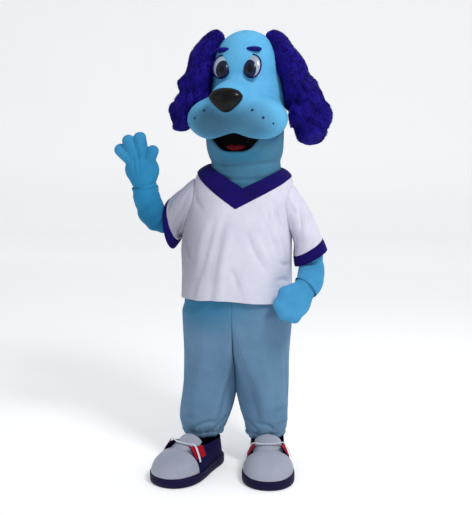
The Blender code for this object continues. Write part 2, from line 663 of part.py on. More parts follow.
def along(direction):
    """A frame whose Z runs along the direction and whose Y stays as near the costume's Y as it can."""
    z = Vector(direction).normalized()
    x = Vector((0, 1, 0)).cross(z).normalized()
    y = z.cross(x)
    return np.array([x, y, z])


def bent_path(points, bends, rows):
    """Middle points along straight stretches whose corners are rounded to the given radii."""
    path = [np.array(points[0], float)]
    for corner, before, after, bend in zip(points[1:-1], points[:-2], points[2:], bends):
        corner, into = np.array(corner, float), np.array(corner, float) - before
        away = np.array(after, float) - corner
        into, away = into / np.linalg.norm(into), away / np.linalg.norm(away)
        half = math.acos(np.clip(into @ away, -1, 1)) / 2
        reach = bend * math.tan(half)
        aside = away - into
        centre = corner + aside / np.linalg.norm(aside) * bend / math.cos(half)
        side = np.cross(np.cross(into, away), into)
        side /= np.linalg.norm(side)
        for step in np.linspace(-1, 1, rows):
            turned = half * (1 + step)
            path.append(centre - bend * side * math.cos(turned) + bend * into * math.sin(turned))
    path.append(np.array(points[-1], float))
    return np.array(path)


def tube_rings(path, radii, columns):
    """Rings round a path, each turned as little as it can be from the one before."""
    ahead = np.gradient(path, axis=0)
    ahead /= np.linalg.norm(ahead, axis=1)[:, None]
    side = np.cross(ahead[0], [0.0, 1.0, 0.0])
    angle = angles(columns)[:, None]
    rings = []
    for point, way, radius in zip(path, ahead, radii):
        side = side - (side @ way) * way
        side /= np.linalg.norm(side)
        rings.append(point + radius * (np.cos(angle) * side + np.sin(angle) * np.cross(way, side)))
    return np.array(rings)


def limb(name, points, bends, radii, look):
    """A hollow tube with rounded bends, whose radius goes evenly through the given ones."""
    path = bent_path(points, bends, 5)
    walked = np.append(0, np.cumsum(np.linalg.norm(np.diff(path, axis=0), axis=1)))
    radius = np.interp(walked / walked[-1], np.linspace(0, 1, len(radii)), radii)
    outer = tube_rings(path, radius, 14)
    inner = tube_rings(path, radius - PLUSH_WALL, 14)
    return add(name, *wall(outer, inner, True), look)


# Arms: plush tubes that come out of the sleeves and end over the mitts' wrists.
ARM_LEFT = [
    (-0.240, 0.005, 1.195),
    (-0.3732, -0.0112, 1.086),
    (-0.4105, -0.096, 1.262),
    (-0.4125, -0.101, 1.296),
]
ARM_RIGHT = [
    (0.284, 0.0, 1.168),
    (0.3195, -0.0123, 1.060),
    (0.343, -0.0280, 0.914),
    (0.340, -0.116, 0.874),
    (0.320, -0.135, 0.854),
]
limb("arm_left", ARM_LEFT, [0.072, 0.080], [0.058, 0.062, 0.0645, 0.062, 0.060], SKY_PLUSH)
limb("arm_right", ARM_RIGHT, [0.200, 0.080, 0.066], [0.044, 0.051, 0.0613, 0.061, 0.060], SKY_PLUSH)

# Mitts: a palm with three fingers and a thumb, hollow and open at the wrist.
PALM = {
    "at": [-0.020, 0.0, 0.030, 0.065, 0.100, 0.130, 0.148],
    "half_width": [0.0545, 0.0545, 0.062, 0.076, 0.076, 0.057, 0.024],
    "half_depth": [0.0545, 0.0540, 0.052, 0.048, 0.044, 0.036, 0.016],
}


def palm(out, low, high, middle_x=-0.006):
    at = np.concatenate([[low, 0.004], np.linspace(0.034, 0.13, 4), [0.142, high]])[:, None]
    angle = angles(12)[None, :]
    shift = middle_x * np.clip(at / 0.08, 0, 1)
    return solid(
        stack(
            shift + (column(PALM, "half_width", at) + out) * np.cos(angle),
            (column(PALM, "half_depth", at) + out) * np.sin(angle),
            at + 0 * angle,
        )
    )


def digit(row, out):
    start, end = Vector(row["root"]), Vector(row["tip"])
    frame = along(end - start)
    length = (end - start).length
    radius = row["radius"] + out
    place = np.array([0.0, 0.5 * length, length, length + 0.55 * radius, length + 0.87 * radius])
    size = np.array([0.92, 1.0, 1.0, 0.83, 0.5]) * radius
    angle = angles(8)[:, None]
    ring = np.cos(angle) * frame[0] + np.sin(angle) * frame[1]
    rings = np.array(start) + place[:, None, None] * frame[2] + size[:, None, None] * ring
    return solid(rings)


def mitt(name, place, direction, turned, digits):
    holder = bpy.data.objects.new(f"{name}_place", None)
    bpy.context.scene.collection.objects.link(holder)
    holder.parent = root
    holder.location = place
    frame = Matrix([list(row) for row in along(direction)]).transposed()
    holder.rotation_euler = (frame @ Matrix.Rotation(turned, 3, "Z")).to_euler()
    made = add(name, *palm(0.0, -0.009, 0.150), SKY_PLUSH, holder)
    for index, row in enumerate(digits):
        cut(made, guide(f"{name}_digit_{index}", *digit(row, 0.0), holder), "UNION")
    cut(made, guide(f"{name}_hollow", *palm(-PLUSH_WALL, -0.030, 0.147), holder))
    for index, row in enumerate(digits):
        cut(made, guide(f"{name}_hollow_{index}", *digit(row, -PLUSH_WALL), holder))
    return made


mitt("mitt_left", ARM_LEFT[-1], Vector(ARM_LEFT[-1]) - Vector(ARM_LEFT[-2]), 0.0, DIGITS)
mitt("mitt_right", ARM_RIGHT[-1], Vector(ARM_RIGHT[-1]) - Vector(ARM_RIGHT[-2]), 0.0, FOLDED_DIGITS)


# Shoes: a sole, a domed toe cap, quarters round the heel, a tongue, a lace and eyelet tabs.


def sole_outline(angle, out=0.0):
    y = -SHOE_LENGTH / 2 * np.cos(angle)
    half = column(SOLE_OUTLINE, "half_width", y)
    grow = 1 + out / (SHOE_LENGTH / 2)
    return np.sign(np.sin(angle)) * half * (1 + out / 0.1), y * grow


CAP = {
    "at": [-0.213, -0.206, -0.190, -0.160, -0.120, -0.080, -0.050],
    "half_width": [0.018, 0.042, 0.068, 0.092, 0.108, 0.113, 0.112],
    "height": [0.004, 0.024, 0.044, 0.064, 0.080, 0.088, 0.090],
}


def cap_point(y, angle, out=0.0):
    lift = np.sin(angle)
    width = column(CAP, "half_width", y) + out
    height = column(CAP, "height", y) + out
    x = width * np.sign(np.cos(angle)) * np.abs(np.cos(angle)) ** 0.8
    return stack(x, y + 0 * angle, SOLE_HEIGHT + SEAM_GAP + height * np.abs(lift) ** 0.9)


QUARTER_ROWS = np.array([0.0, 0.25, 0.5, 0.75, 1.0])[:, None]


def quarter_point(place, share, out=0.0):
    """A wall round the heel from one side of the instep to the other; it leans in as it rises."""
    turned = math.pi * (0.39 + 1.22 * place)
    x, y = sole_outline(turned)
    front = np.abs(2 * place - 1)
    top = SOLE_HEIGHT + 0.0902 + 0.020 * np.clip((front - 0.75) / 0.25, 0, 1)
    lean = 0.06 + 0.44 * np.clip((front - 0.45) / 0.55, 0, 1) ** 1.5
    inside = 1 - lean * share**1.6
    x = x * inside * (0.95 + out / 0.1)
    y = y * np.where(y > 0, 0.955 - 0.06 * share, 1.0) + np.where(y > 0, out, 0.0)
    z = SOLE_HEIGHT + SEAM_GAP + share * (top - SOLE_HEIGHT) + 0.3 * out * share
    return stack(x, y, z)


def strip(middle, across, thick, half_width):
    """A flat band along a line of middle points; across and thick are its directions there."""
    aside = half_width * across
    raised = LACE_THICK * thick
    rings = [middle + aside, middle + aside + raised, middle - aside + raised, middle - aside]
    return solid(np.stack(rings, axis=1))


SHOES = [
    {"side": "left", "place": (-0.200, -0.213, 0.0), "yaw": math.radians(-26), "lace": -1},
    {"side": "right", "place": (0.159, -0.176, 0.0), "yaw": math.radians(6), "lace": 1},
]
for row in SHOES:
    side, place, yaw, lace_sign = row["side"], row["place"], row["yaw"], row["lace"]
    shoe = bpy.data.objects.new(f"shoe_{side}", None)
    bpy.context.scene.collection.objects.link(shoe)
    shoe.parent = root
    shoe.location = place
    shoe.rotation_euler = (0, 0, yaw)
    outline_angle = angles(26) + 0.05
    rings = []
    for height, out in ((0.0, -0.004), (0.006, 0.0), (SOLE_HEIGHT - 0.004, 0.0), (SOLE_HEIGHT, -0.003)):
        x, y = sole_outline(outline_angle, out)
        rings.append(stack(x, y, height))
    add(f"sole_{side}", *solid(np.array(rings)), NAVY_CANVAS, shoe)
    cap_y = np.array([-0.212, -0.206, -0.192, -0.168, -0.138, -0.104, -0.075])[:, None]
    cap_angle = np.linspace(0, math.pi, 13)[None, :]
    inner = cap_point(cap_y + 0.0005, cap_angle, -0.0035)
    inner[..., 2] = np.maximum(inner[..., 2], SOLE_HEIGHT + SEAM_GAP)
    add(f"toe_cap_{side}", *wall(cap_point(cap_y, cap_angle), inner, False), CANVAS_WHITE, shoe)
    form_y = np.append(cap_y[:, 0], -0.0742)[:, None]
    cap_form = guide(f"cap_form_{side}", *solid(cap_point(form_y, cap_angle, 0.0009)), shoe)
    quarter_place = np.linspace(0, 1, 21)[None, :]
    quarter = quarter_point(quarter_place, QUARTER_ROWS)
    quarter_inner = quarter_point(quarter_place, QUARTER_ROWS, -0.003)
    quarters = add(f"quarters_{side}", *wall(quarter, quarter_inner, False), NAVY_CANVAS, shoe)
    cut(quarters, cap_form)
    tongue_place = np.linspace(0, 1.5, 8)[:, None]
    tongue_turn = np.radians(np.linspace(28, 152, 9))[None, :]
    flap_x = (0.078 - 0.012 * np.clip(tongue_place - 0.6, 0, 1)) * np.cos(tongue_turn)
    flap_y = -0.092 + 0.075 * tongue_place
    flap_z = SOLE_HEIGHT + 0.080 + 0.034 * tongue_place - 0.052 * (1 - np.sin(tongue_turn))
    flap = wall(stack(flap_x, flap_y, flap_z), stack(flap_x, flap_y, flap_z - 0.004), False)
    shoe_tongue = add(f"shoe_tongue_{side}", *flap, CANVAS_WHITE, shoe)
    cut(shoe_tongue, cap_form)
    for where, first in (("inner", 0), ("outer", 18)):
        if lace_sign > 0:
            first = 18 - first
        columns = slice(first, first + 3)
        low = quarter[2:, columns].copy()
        outward = stack(np.sign(low[..., 0]), 0.0, 0.8) / 1.28
        tab_wall = wall(low + 0.0022 * outward, low + 0.0007 * outward, False)
        tab = add(f"eyelet_tab_{where}_{side}", *tab_wall, RED_FELT, shoe)
        cut(tab, cap_form)
    half_x = np.array([0.0, 0.030, 0.060, 0.0715, 0.0875, 0.1005, 0.1065])
    half_z = np.array([0.1490, 0.1500, 0.1555, 0.1535, 0.129, 0.103, 0.086])
    lace_x = np.append(-half_x[:0:-1], half_x)
    lace_z = np.append(half_z[:0:-1], half_z)
    lace_y = -0.044 + 0.012 * (np.abs(lace_x) / 0.1) ** 2 * np.sign(lace_x) * lace_sign
    lace_points = stack(lace_x, lace_y, lace_z)
    ahead = np.gradient(lace_points, axis=0)
    ahead /= np.linalg.norm(ahead, axis=1)[:, None]
    across = np.tile([0.0, 1.0, 0.0], (len(lace_x), 1))
    across -= (across * ahead).sum(axis=1)[:, None] * ahead
    across /= np.linalg.norm(across, axis=1)[:, None]
    up = np.cross(ahead, across)
    add(f"lace_{side}", *strip(lace_points, across, up, 0.006), LACE_WHITE, shoe)
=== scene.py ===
import math

import bpy
import numpy as np
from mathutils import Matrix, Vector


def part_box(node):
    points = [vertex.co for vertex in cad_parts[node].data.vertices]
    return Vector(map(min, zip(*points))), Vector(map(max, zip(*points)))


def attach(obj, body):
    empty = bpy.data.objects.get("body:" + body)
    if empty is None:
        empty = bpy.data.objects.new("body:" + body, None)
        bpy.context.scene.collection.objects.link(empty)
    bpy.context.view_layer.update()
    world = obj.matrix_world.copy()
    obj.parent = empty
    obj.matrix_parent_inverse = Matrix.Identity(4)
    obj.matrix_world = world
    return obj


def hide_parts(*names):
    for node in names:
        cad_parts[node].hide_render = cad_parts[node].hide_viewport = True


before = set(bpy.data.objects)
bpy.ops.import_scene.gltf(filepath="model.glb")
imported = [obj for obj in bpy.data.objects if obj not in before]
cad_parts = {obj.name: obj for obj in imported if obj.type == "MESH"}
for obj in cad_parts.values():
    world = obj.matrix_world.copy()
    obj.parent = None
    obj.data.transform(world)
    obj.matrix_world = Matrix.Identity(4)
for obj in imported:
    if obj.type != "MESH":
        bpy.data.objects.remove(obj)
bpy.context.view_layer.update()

# View: the photograph was taken from about 3.8 m away and 1.5 m up, seven degrees off the
# costume's front and looking slightly down. The height here is above the part's origin.
VIEW_TURN = math.radians(7.0)
VIEW_AWAY = 3.8
VIEW_SHIFT = 0.009
VIEW_HEIGHT = 0.14
VIEW_TILT = math.radians(82.0)


def new_object(name, data):
    """An object of the given data, linked to the scene."""
    made = bpy.data.objects.new(name, data)
    bpy.context.scene.collection.objects.link(made)
    return made


eye = new_object("eye", bpy.data.cameras.new("eye"))
eye.data.sensor_fit = "HORIZONTAL"
eye.data.sensor_width = 36.0
eye.data.lens = 62.85
eye.location = (
    VIEW_AWAY * math.sin(VIEW_TURN) - VIEW_SHIFT * math.cos(VIEW_TURN),
    -VIEW_AWAY * math.cos(VIEW_TURN) - VIEW_SHIFT * math.sin(VIEW_TURN),
    VIEW_HEIGHT,
)
eye.rotation_euler = (VIEW_TILT, 0.0, VIEW_TURN)
bpy.context.scene.camera = eye

# Shirt body: a front and a back of white cotton jersey, overlocked at the side seams and
# topstitched at the hem. The walls are single cloth, open at neck, hem and armholes.
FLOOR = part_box("sole_left")[0][2]
SHIRT_WALL = 0.0025
SHIRT = {
    "at": [0.70, 0.78, 0.90, 1.05, 1.15, 1.25, 1.31, 1.36, 1.42],
    "half_width": [0.259, 0.259, 0.256, 0.253, 0.249, 0.240, 0.229, 0.214, 0.196],
    "half_depth": [0.212, 0.214, 0.217, 0.211, 0.200, 0.186, 0.176, 0.166, 0.156],
    "middle_x": [-0.006, -0.006, -0.006, -0.004, 0.002, 0.016, 0.024, 0.028, 0.030],
    "middle_y": [0.000, 0.000, 0.000, 0.004, 0.008, 0.012, 0.014, 0.016, 0.018],
}
# How square the torso's oval is: 2 would be a plain oval.
SHIRT_SQUARE = 2.25
SHIRT_RADIUS = 0.235
SHIRT_RUMPLE = 0.0009
DEEPEST_CREASE = -0.0105
HEM_HEIGHT = 0.775
HEM_FLARE = 0.0015
HEM_WAVE = 0.0022
# Heights of the neckline: the tip of the V, the corners on the shoulders and the back.
NECKLINE = (1.205, 1.352, 1.375)
# Creases, seven numbers each: angle in degrees (270 is the front middle) and height at one end,
# the same at the other, the width across, the push out or in, and the bow to one side.
SHIRT_CREASES = [
    (262, 1.16, 248, 0.77, 0.017, -0.0133, 0.010),
    (269, 1.12, 258, 0.77, 0.020, 0.0091, 0.006),
    (249, 1.14, 226, 0.79, 0.016, -0.0112, -0.010),
    (240, 1.12, 236, 0.80, 0.020, 0.0084, 0.004),
    (286, 1.09, 305, 0.935, 0.011, -0.0105, 0.006),
    (293, 1.10, 311, 0.955, 0.012, 0.0077, 0.004),
    (313, 1.21, 325, 1.12, 0.010, -0.0112, 0.003),
    (302, 1.21, 309, 1.14, 0.010, -0.0070, 0.0),
    (301, 1.16, 316, 1.02, 0.011, -0.0084, -0.006),
    (318, 1.10, 330, 0.98, 0.013, 0.0084, 0.004),
    (322, 0.965, 345, 0.945, 0.012, -0.0098, 0.006),
    (320, 0.885, 346, 0.865, 0.013, -0.0098, -0.006),
    (271, 0.94, 277, 0.86, 0.012, -0.0063, 0.0),
    (282, 0.93, 288, 0.78, 0.018, 0.0063, 0.005),
    (206, 1.12, 222, 0.98, 0.014, -0.0098, 0.006),
    (200, 1.06, 214, 0.90, 0.014, 0.0070, 0.004),
    (214, 1.27, 232, 1.20, 0.013, -0.0063, 0.004),
    (190, 0.98, 198, 0.80, 0.018, -0.0060, 0.0),
    (60, 1.22, 72, 0.80, 0.022, -0.0090, 0.012),
    (50, 1.16, 52, 0.82, 0.020, 0.0060, -0.008),
    (125, 1.22, 112, 0.80, 0.022, -0.0085, -0.012),
    (136, 1.14, 131, 0.84, 0.018, 0.0055, 0.008),
    (92, 1.06, 90, 0.77, 0.022, 0.0065, 0.006),
    (150, 1.14, 162, 0.98, 0.013, -0.0065, 0.006),
    (30, 1.13, 18, 0.97, 0.013, -0.0065, -0.006),
    (22, 0.92, 8, 0.80, 0.016, -0.0060, 0.004),
    (76, 1.31, 104, 1.30, 0.014, -0.0040, 0.006),
]


def column(table, name, at):
    """One column of a table at any place: a cubic through its rows, flat beyond its ends."""
    place = np.array(table["at"], float)
    value = np.array(table[name], float)
    slope = np.gradient(value, place)
    row = np.clip(np.searchsorted(place, at) - 1, 0, len(place) - 2)
    step = place[row + 1] - place[row]
    t = np.clip((at - place[row]) / step, 0, 1)
    return (
        (2 * t**3 - 3 * t**2 + 1) * value[row]
        + (t**3 - 2 * t**2 + t) * step * slope[row]
        + (3 * t**2 - 2 * t**3) * value[row + 1]
        + (t**3 - t**2) * step * slope[row + 1]
    )


def stack(x, y, z):
    """Points from their x, y and z, spread to one shape."""
    return np.stack(np.broadcast_arrays(x, y, z), axis=-1)


def smooth(value, low, high):
    """A soft step from 0 at low to 1 at high: three t squared less two t cubed."""
    t = np.clip((value - low) / (high - low), 0, 1)
    return t * t * (3 - 2 * t)


def crease_push(table, angle, height, radius):
    """Sum of bells across bowed lines; each line's depth falls off softly towards its ends."""
    total = np.zeros(np.broadcast(angle, height).shape)
    for from_angle, from_height, to_angle, to_height, width, push, bow in table:
        dx = (math.radians(to_angle) - math.radians(from_angle)) * radius
        dz = to_height - from_height
        px = (angle - math.radians(from_angle)) * radius + 0 * height
        pz = height - from_height + 0 * angle
        length = math.hypot(dx, dz)
        along = (px * dx + pz * dz) / length**2
        t = np.clip(along, 0, 1)
        side = (px * dz - pz * dx) / length - bow * 4 * t * (1 - t)
        past = np.maximum(np.maximum(-along, along - 1), 0) * length
        fade = 1 - 0.65 * np.abs(2 * t - 1) ** 3
        total = total + push * fade * np.exp(-((side / width) ** 2 + (past / 0.03) ** 2))
    return total


def rumple(angle, height, size):
    """Low uneven waves that keep a large panel from lying perfectly smooth."""
    return size * (
        np.sin(5.3 * angle + 7.1 * height + 0.6)
        + 0.7 * np.sin(8.7 * angle - 11.3 * height + 1.9)
        + 0.5 * np.sin(13.1 * angle + 23.7 * height + 4.2)
        + 0.35 * np.sin(3.1 * angle - 31.9 * height + 2.7)
    )


def oval(angle, half_width, half_depth, power):
    """An oval's points about its middle; a power over 2 squares its corners off."""
    c, s = np.cos(angle), np.sin(angle)
    reach = (np.abs(c) ** power + np.abs(s) ** power) ** (-1 / power)
    return half_width * reach * c, half_depth * reach * s


def shirt_push(angle, height):
    """Creases, low waves and a slight flare at the hem, held back from going too deep."""
    near_hem = smooth(height, 0.80, 0.77)
    flare = near_hem * (HEM_WAVE * np.sin(11 * angle + 1.0) + HEM_FLARE)
    creases = crease_push(SHIRT_CREASES, np.mod(angle, 2 * math.pi), height, SHIRT_RADIUS)
    return np.maximum(creases + rumple(angle, height, SHIRT_RUMPLE) + flare, DEEPEST_CREASE)


def oval_at(table, angle, height, out, square):
    """The oval of a table's half width and half depth at a height, moved out by a push."""
    wide = column(table, "half_width", height) + out
    deep = column(table, "half_depth", height) + out
    return oval(angle, wide, deep, square)


def torso_point(angle, height, out):
    """A point of the torso's squared oval about its own middle at that height."""
    x, y = oval_at(SHIRT, angle, height, out, SHIRT_SQUARE)
    return stack(x + column(SHIRT, "middle_x", height), y + column(SHIRT, "middle_y", height), height)


def shirt_point(angle, height):
    """The torso's oval, moved out or in by the shirt's creases."""
    return torso_point(angle, height, shirt_push(angle, height))


def hem_height(angle):
    """The hem lies a little higher in front and lower at the right side, and waves slightly."""
    wave = 0.0016 * np.sin(7 * angle + 0.8)
    return HEM_HEIGHT + 0.020 * np.clip(-np.sin(angle), 0, 1) ** 2 - 0.010 * np.cos(angle) + wave


def neckline_height(angle, tip, corner, back):
    """Straight down to the V in front, and a shallow rise to the back."""
    side = np.abs(np.cos(angle))
    front = tip + (corner - tip) * side
    behind = back + (corner - back) * side
    return np.where(np.sin(angle) < 0, front, behind) - 0.010 * np.cos(angle)


def shirt_grid(angle, rows):
    """Rows of the shirt's points, evenly spaced from the hem up to the neckline."""
    low = hem_height(angle)[None, :]
    high = neckline_height(angle, *NECKLINE)[None, :]
    share = np.linspace(0, 1, rows)[:, None]
    return shirt_point(angle[None, :], low + share * (high - low))


def grid_faces(rows, columns, around):
    """The four corners of each face of a grid of points, closed round on itself or left open."""
    below = np.arange(rows - 1)[:, None] * columns
    col = np.arange(columns if around else columns - 1)[None, :]
    after = (col + 1) % columns
    above = below + columns
    return np.stack([below + col, below + after, above + after, above + col], axis=-1).reshape(-1, 4)


def new_piece(name, points, faces, look, cloth=None):
    """A smooth mesh of one look; cloth, if given, holds the cloth coordinates of its corners."""
    mesh = bpy.data.meshes.new(name)
    mesh.from_pydata(points, [], faces)
    if cloth is not None:
        mesh.uv_layers.new(name="cloth").data.foreach_set("uv", cloth.astype(np.float32).ravel())
    mesh.shade_smooth()
    mesh.materials.append(look)
    return new_object(name, mesh)


def add_wall(piece, thickness, name="wall"):
    """Gives a surface a wall, set inwards from it."""
    thick = piece.modifiers.new(name, "SOLIDIFY")
    thick.thickness = thickness
    thick.offset = -1.0


def cloth_piece(name, points, around, look, wall, keep=None):
    """A surface through a grid of points: quads turned outwards, cloth coordinates in metres
    along the grid's lengths, and a wall set inwards from it."""
    points = np.array(points, float)
    points[..., 2] += FLOOR
    rows, columns = points.shape[:2]
    faces = grid_faces(rows, columns, around)
    ahead = np.linalg.norm(np.roll(points, -1, axis=1) - points, axis=-1)[rows // 2]
    up = np.linalg.norm(np.diff(points, axis=0), axis=-1).mean(axis=1)
    u = np.append(0, np.cumsum(ahead))
    v = np.append(0, np.cumsum(up))
    row, col = np.indices((rows - 1, columns if around else columns - 1)).reshape(2, -1)
    across = u[np.stack([col, col + 1, col + 1, col], axis=-1)]
    along = v[np.stack([row, row, row + 1, row + 1], axis=-1)]
    cloth = np.stack([across, along], axis=-1)
    flat = points.reshape(-1, 3)
    side = np.cross(flat[faces[:, 1]] - flat[faces[:, 0]], flat[faces[:, 3]] - flat[faces[:, 0]])
    if (side * (flat[faces].mean(axis=1) - points.mean(axis=1)[row])).sum() < 0:
        faces, cloth = faces[:, ::-1], cloth[:, ::-1]
    if keep is not None:
        kept = keep(flat[faces].mean(axis=1) - np.array([0, 0, FLOOR]))
        faces, cloth = faces[kept], cloth[kept]
    used, faces = np.unique(faces, return_inverse=True)
    piece = new_piece(name, flat[used].tolist(), faces.reshape(-1, 4).tolist(), look, cloth)
    if wall:
        add_wall(piece, wall)
    return piece


def dress(piece, slot, node=None):
    """Puts a piece on the costume, in place of the named solid if there is one; slot is not used."""
    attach(piece, "root")
    if node:
        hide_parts(node)


def add_node(tree, kind, **values):
    """A shader node with its settings and input values given by name."""
    made = tree.nodes.new(kind)
    for key, value in values.items():
        if hasattr(made, key):
            setattr(made, key, value)
        else:
            made.inputs[key.replace("_", " ")].default_value = value
    return made


def finish_look(name, tone, deep, patch, roughness, sheen=0.0, coat=0.0):
    """A surface whose colour drifts between two tones in soft patches; returns it with its node
    tree, its shader and the node that gives places on the object."""
    look = bpy.data.materials.new(name)
    look.use_nodes = True
    tree = look.node_tree
    shader = tree.nodes["Principled BSDF"]
    values = {
        "Roughness": roughness,
        "Sheen Weight": sheen,
        "Sheen Roughness": 0.45,
        "Sheen Tint": (*[min(1.0, 0.05 + 1.6 * t) for t in tone], 1.0),
        "Specular IOR Level": 0.5 if coat or roughness < 0.6 else 0.18,
        "Coat Weight": coat,
        "Coat Roughness": 0.08,
    }
    for key, value in values.items():
        shader.inputs[key].default_value = value
    place = add_node(tree, "ShaderNodeTexCoord")
    drift = add_node(tree, "ShaderNodeTexNoise", Scale=patch, Detail=4.0, Roughness=0.6)
    tree.links.new(place.outputs["Object"], drift.inputs["Vector"])
    ramp = add_node(tree, "ShaderNodeValToRGB")
    for stop, position, colour in zip(ramp.color_ramp.elements, (0.32, 0.62), (deep, tone)):
        stop.position = position
        stop.color = (*colour, 1.0)
    tree.links.new(drift.outputs["Fac"], ramp.inputs["Fac"])
    tree.links.new(ramp.outputs["Color"], shader.inputs["Base Color"])
    return look, tree, shader, place


def add_relief(tree, shader, height, strength, distance):
    """Bump from a height socket."""
    bump = add_node(tree, "ShaderNodeBump", Strength=strength, Distance=distance)
    tree.links.new(height, bump.inputs["Height"])
    tree.links.new(bump.outputs["Normal"], shader.inputs["Normal"])


def tint(look, centre, size, colour, share):
    """A soft patch of another tone painted into a look, used mostly for painted shade: strongest at a
    place above the floor, and gone at an ellipsoid round it."""
    tree = look.node_tree
    base = tree.nodes["Principled BSDF"].inputs["Base Color"]
    place = add_node(tree, "ShaderNodeTexCoord")
    shift = add_node(tree, "ShaderNodeVectorMath", operation="SUBTRACT")
    shift.inputs[1].default_value = (centre[0], centre[1], centre[2] + FLOOR)
    squeeze = add_node(tree, "ShaderNodeVectorMath", operation="DIVIDE")
    squeeze.inputs[1].default_value = size
    away = add_node(tree, "ShaderNodeVectorMath", operation="LENGTH")
    fade = add_node(tree, "ShaderNodeMapRange", interpolation_type="SMOOTHSTEP", From_Min=0.25)
    fade.inputs["To Min"].default_value = share
    fade.inputs["To Max"].default_value = 0.0
    mix = add_node(tree, "ShaderNodeMix", data_type="RGBA")
    tree.links.new(place.outputs["Object"], shift.inputs[0])
    tree.links.new(shift.outputs[0], squeeze.inputs[0])
    tree.links.new(squeeze.outputs[0], away.inputs[0])
    tree.links.new(away.outputs["Value"], fade.inputs["Value"])
    tree.links.new(fade.outputs["Result"], mix.inputs["Factor"])
    tree.links.new(base.links[0].from_socket, mix.inputs["A"])
    mix.inputs["B"].default_value = (*colour, 1.0)
    tree.links.new(mix.outputs["Result"], base)


def knit_look(name, tone, deep, course, depth, roughness=0.85, sheen=0.25):
    """Knitted cloth: fine wales along the cloth and courses across it, as two bump waves."""
    look, tree, shader, place = finish_look(name, tone, deep, 9.0, roughness, sheen)
    both = add_node(tree, "ShaderNodeMath", operation="MULTIPLY")
    for index, direction, spacing in ((0, "X", course), (1, "Y", course * 1.4)):
        wave = add_node(tree, "ShaderNodeTexWave", Scale=0.314 / spacing, bands_direction=direction)
        wave.inputs["Distortion"].default_value = 0.6
        tree.links.new(place.outputs["UV"], wave.inputs["Vector"])
        tree.links.new(wave.outputs["Fac"], both.inputs[index])
    slub = add_node(tree, "ShaderNodeTexNoise", Scale=420.0, Detail=2.0)
    tree.links.new(place.outputs["Object"], slub.inputs["Vector"])
    rough = add_node(tree, "ShaderNodeMath", operation="MULTIPLY_ADD")
    rough.inputs[1].default_value = 0.5
    tree.links.new(slub.outputs["Fac"], rough.inputs[0])
    tree.links.new(both.outputs[0], rough.inputs[2])
    add_relief(tree, shader, rough.outputs[0], 0.5, depth)
    return look


white_jersey = knit_look("white jersey", (0.70, 0.70, 0.80), (0.63, 0.63, 0.74), 0.0016, 0.0006, 0.85, 0.1)
# Painted shade: the shirt's left side and left sleeve, away from the key light, are darkened in their colour.
tint(white_jersey, (-0.33, -0.14, 1.02), (0.32, 0.44, 0.62), (0.27, 0.27, 0.33), 0.80)
SLEEVE_RIGHT = {
    "at": [-0.30, 0.0, 0.5, 1.0, 1.3],
    "top_x": [0.165, 0.222, 0.318, 0.388, 0.410],
    "top_z": [1.300, 1.325, 1.215, 1.066, 1.016],
    "low_x": [0.175, 0.222, 0.257, 0.261, 0.267],
    "low_z": [1.120, 1.105, 1.045, 0.980, 0.934],
    "middle_y": [0.012, 0.012, 0.000, -0.014, -0.020],
    "half_depth": [0.108, 0.108, 0.100, 0.092, 0.090],
    "turn": [0.0, 0.0, 0.01, 0.02, 0.02],
}
SLEEVE_LEFT = {
    "at": [-0.30, 0.0, 0.5, 1.0, 1.3],
    "top_x": [-0.150, -0.192, -0.262, -0.310, -0.322],
    "top_z": [1.300, 1.330, 1.285, 1.242, 1.230],
    "low_x": [-0.170, -0.212, -0.263, -0.272, -0.302],
    "low_z": [1.110, 1.092, 1.068, 1.047, 1.005],
    "middle_y": [0.012, 0.012, 0.004, -0.004, -0.008],
    "half_depth": [0.108, 0.108, 0.102, 0.096, 0.094],
    "turn": [0.0, 0.0, -0.01, -0.02, -0.02],
}


def sleeve_point(table, angle, at, out=0.0):
    """A ring between a highest and a lowest point, moved out by the same amount all round."""
    middle_x = (column(table, "top_x", at) + column(table, "low_x", at)) / 2
    middle_z = (column(table, "top_z", at) + column(table, "low_z", at)) / 2
    up_x = column(table, "top_x", at) - middle_x
    up_z = column(table, "top_z", at) - middle_z
    grow = 1 + out / np.hypot(up_x, up_z)
    depth = column(table, "half_depth", at) + out
    c, s = np.cos(angle), np.sin(angle)
    x = middle_x + up_x * grow * c + column(table, "turn", at) * s
    y = column(table, "middle_y", at) - depth * s
    return stack(x, y, middle_z + up_z * grow * c)


def in_sleeve(table, place, share):
    """Whether places lie within a share of the sleeve's oval, in the ring nearest to each."""
    nearest = np.full(place.shape[:-1], 9.0)
    inside = np.zeros(place.shape[:-1], bool)
    for at in np.linspace(-0.1, 0.6, 15):
        top = sleeve_point(table, 0.0, at)
        low = sleeve_point(table, math.pi, at)
        middle, up = (top + low) / 2, (top - low) / 2
        off = place - middle
        along = np.cross([0.0, 1.0, 0.0], up / np.linalg.norm(up))
        away = np.abs(off @ along)
        rise = off @ up / (up @ up)
        across = off[..., 1] / column(table, "half_depth", at)
        closer = away < nearest
        inside = np.where(closer, np.hypot(rise, across) < share, inside)
        nearest = np.minimum(nearest, away)
    return inside & (nearest < 0.03)


def outside_armholes(place):
    """Whether places lie outside the openings of both sleeves."""
    return ~(in_sleeve(SLEEVE_RIGHT, place, 0.90) | in_sleeve(SLEEVE_LEFT, place, 0.90))


for side, low, high, columns, rows, flat, area in (
    ("front", 180.03, 359.97, 168, 116, (0.74, 0.60), 0.36),
    ("back", 0.03, 179.97, 140, 96, (0.74, 0.62), 0.38),
):
    grid = shirt_grid(np.radians(np.linspace(low, high, columns)), rows)
    panel = cloth_piece(f"shirt_{side}_cloth", grid, False, white_jersey, SHIRT_WALL, outside_armholes)
    dress(panel, "white_jersey", f"shirt_{side}")


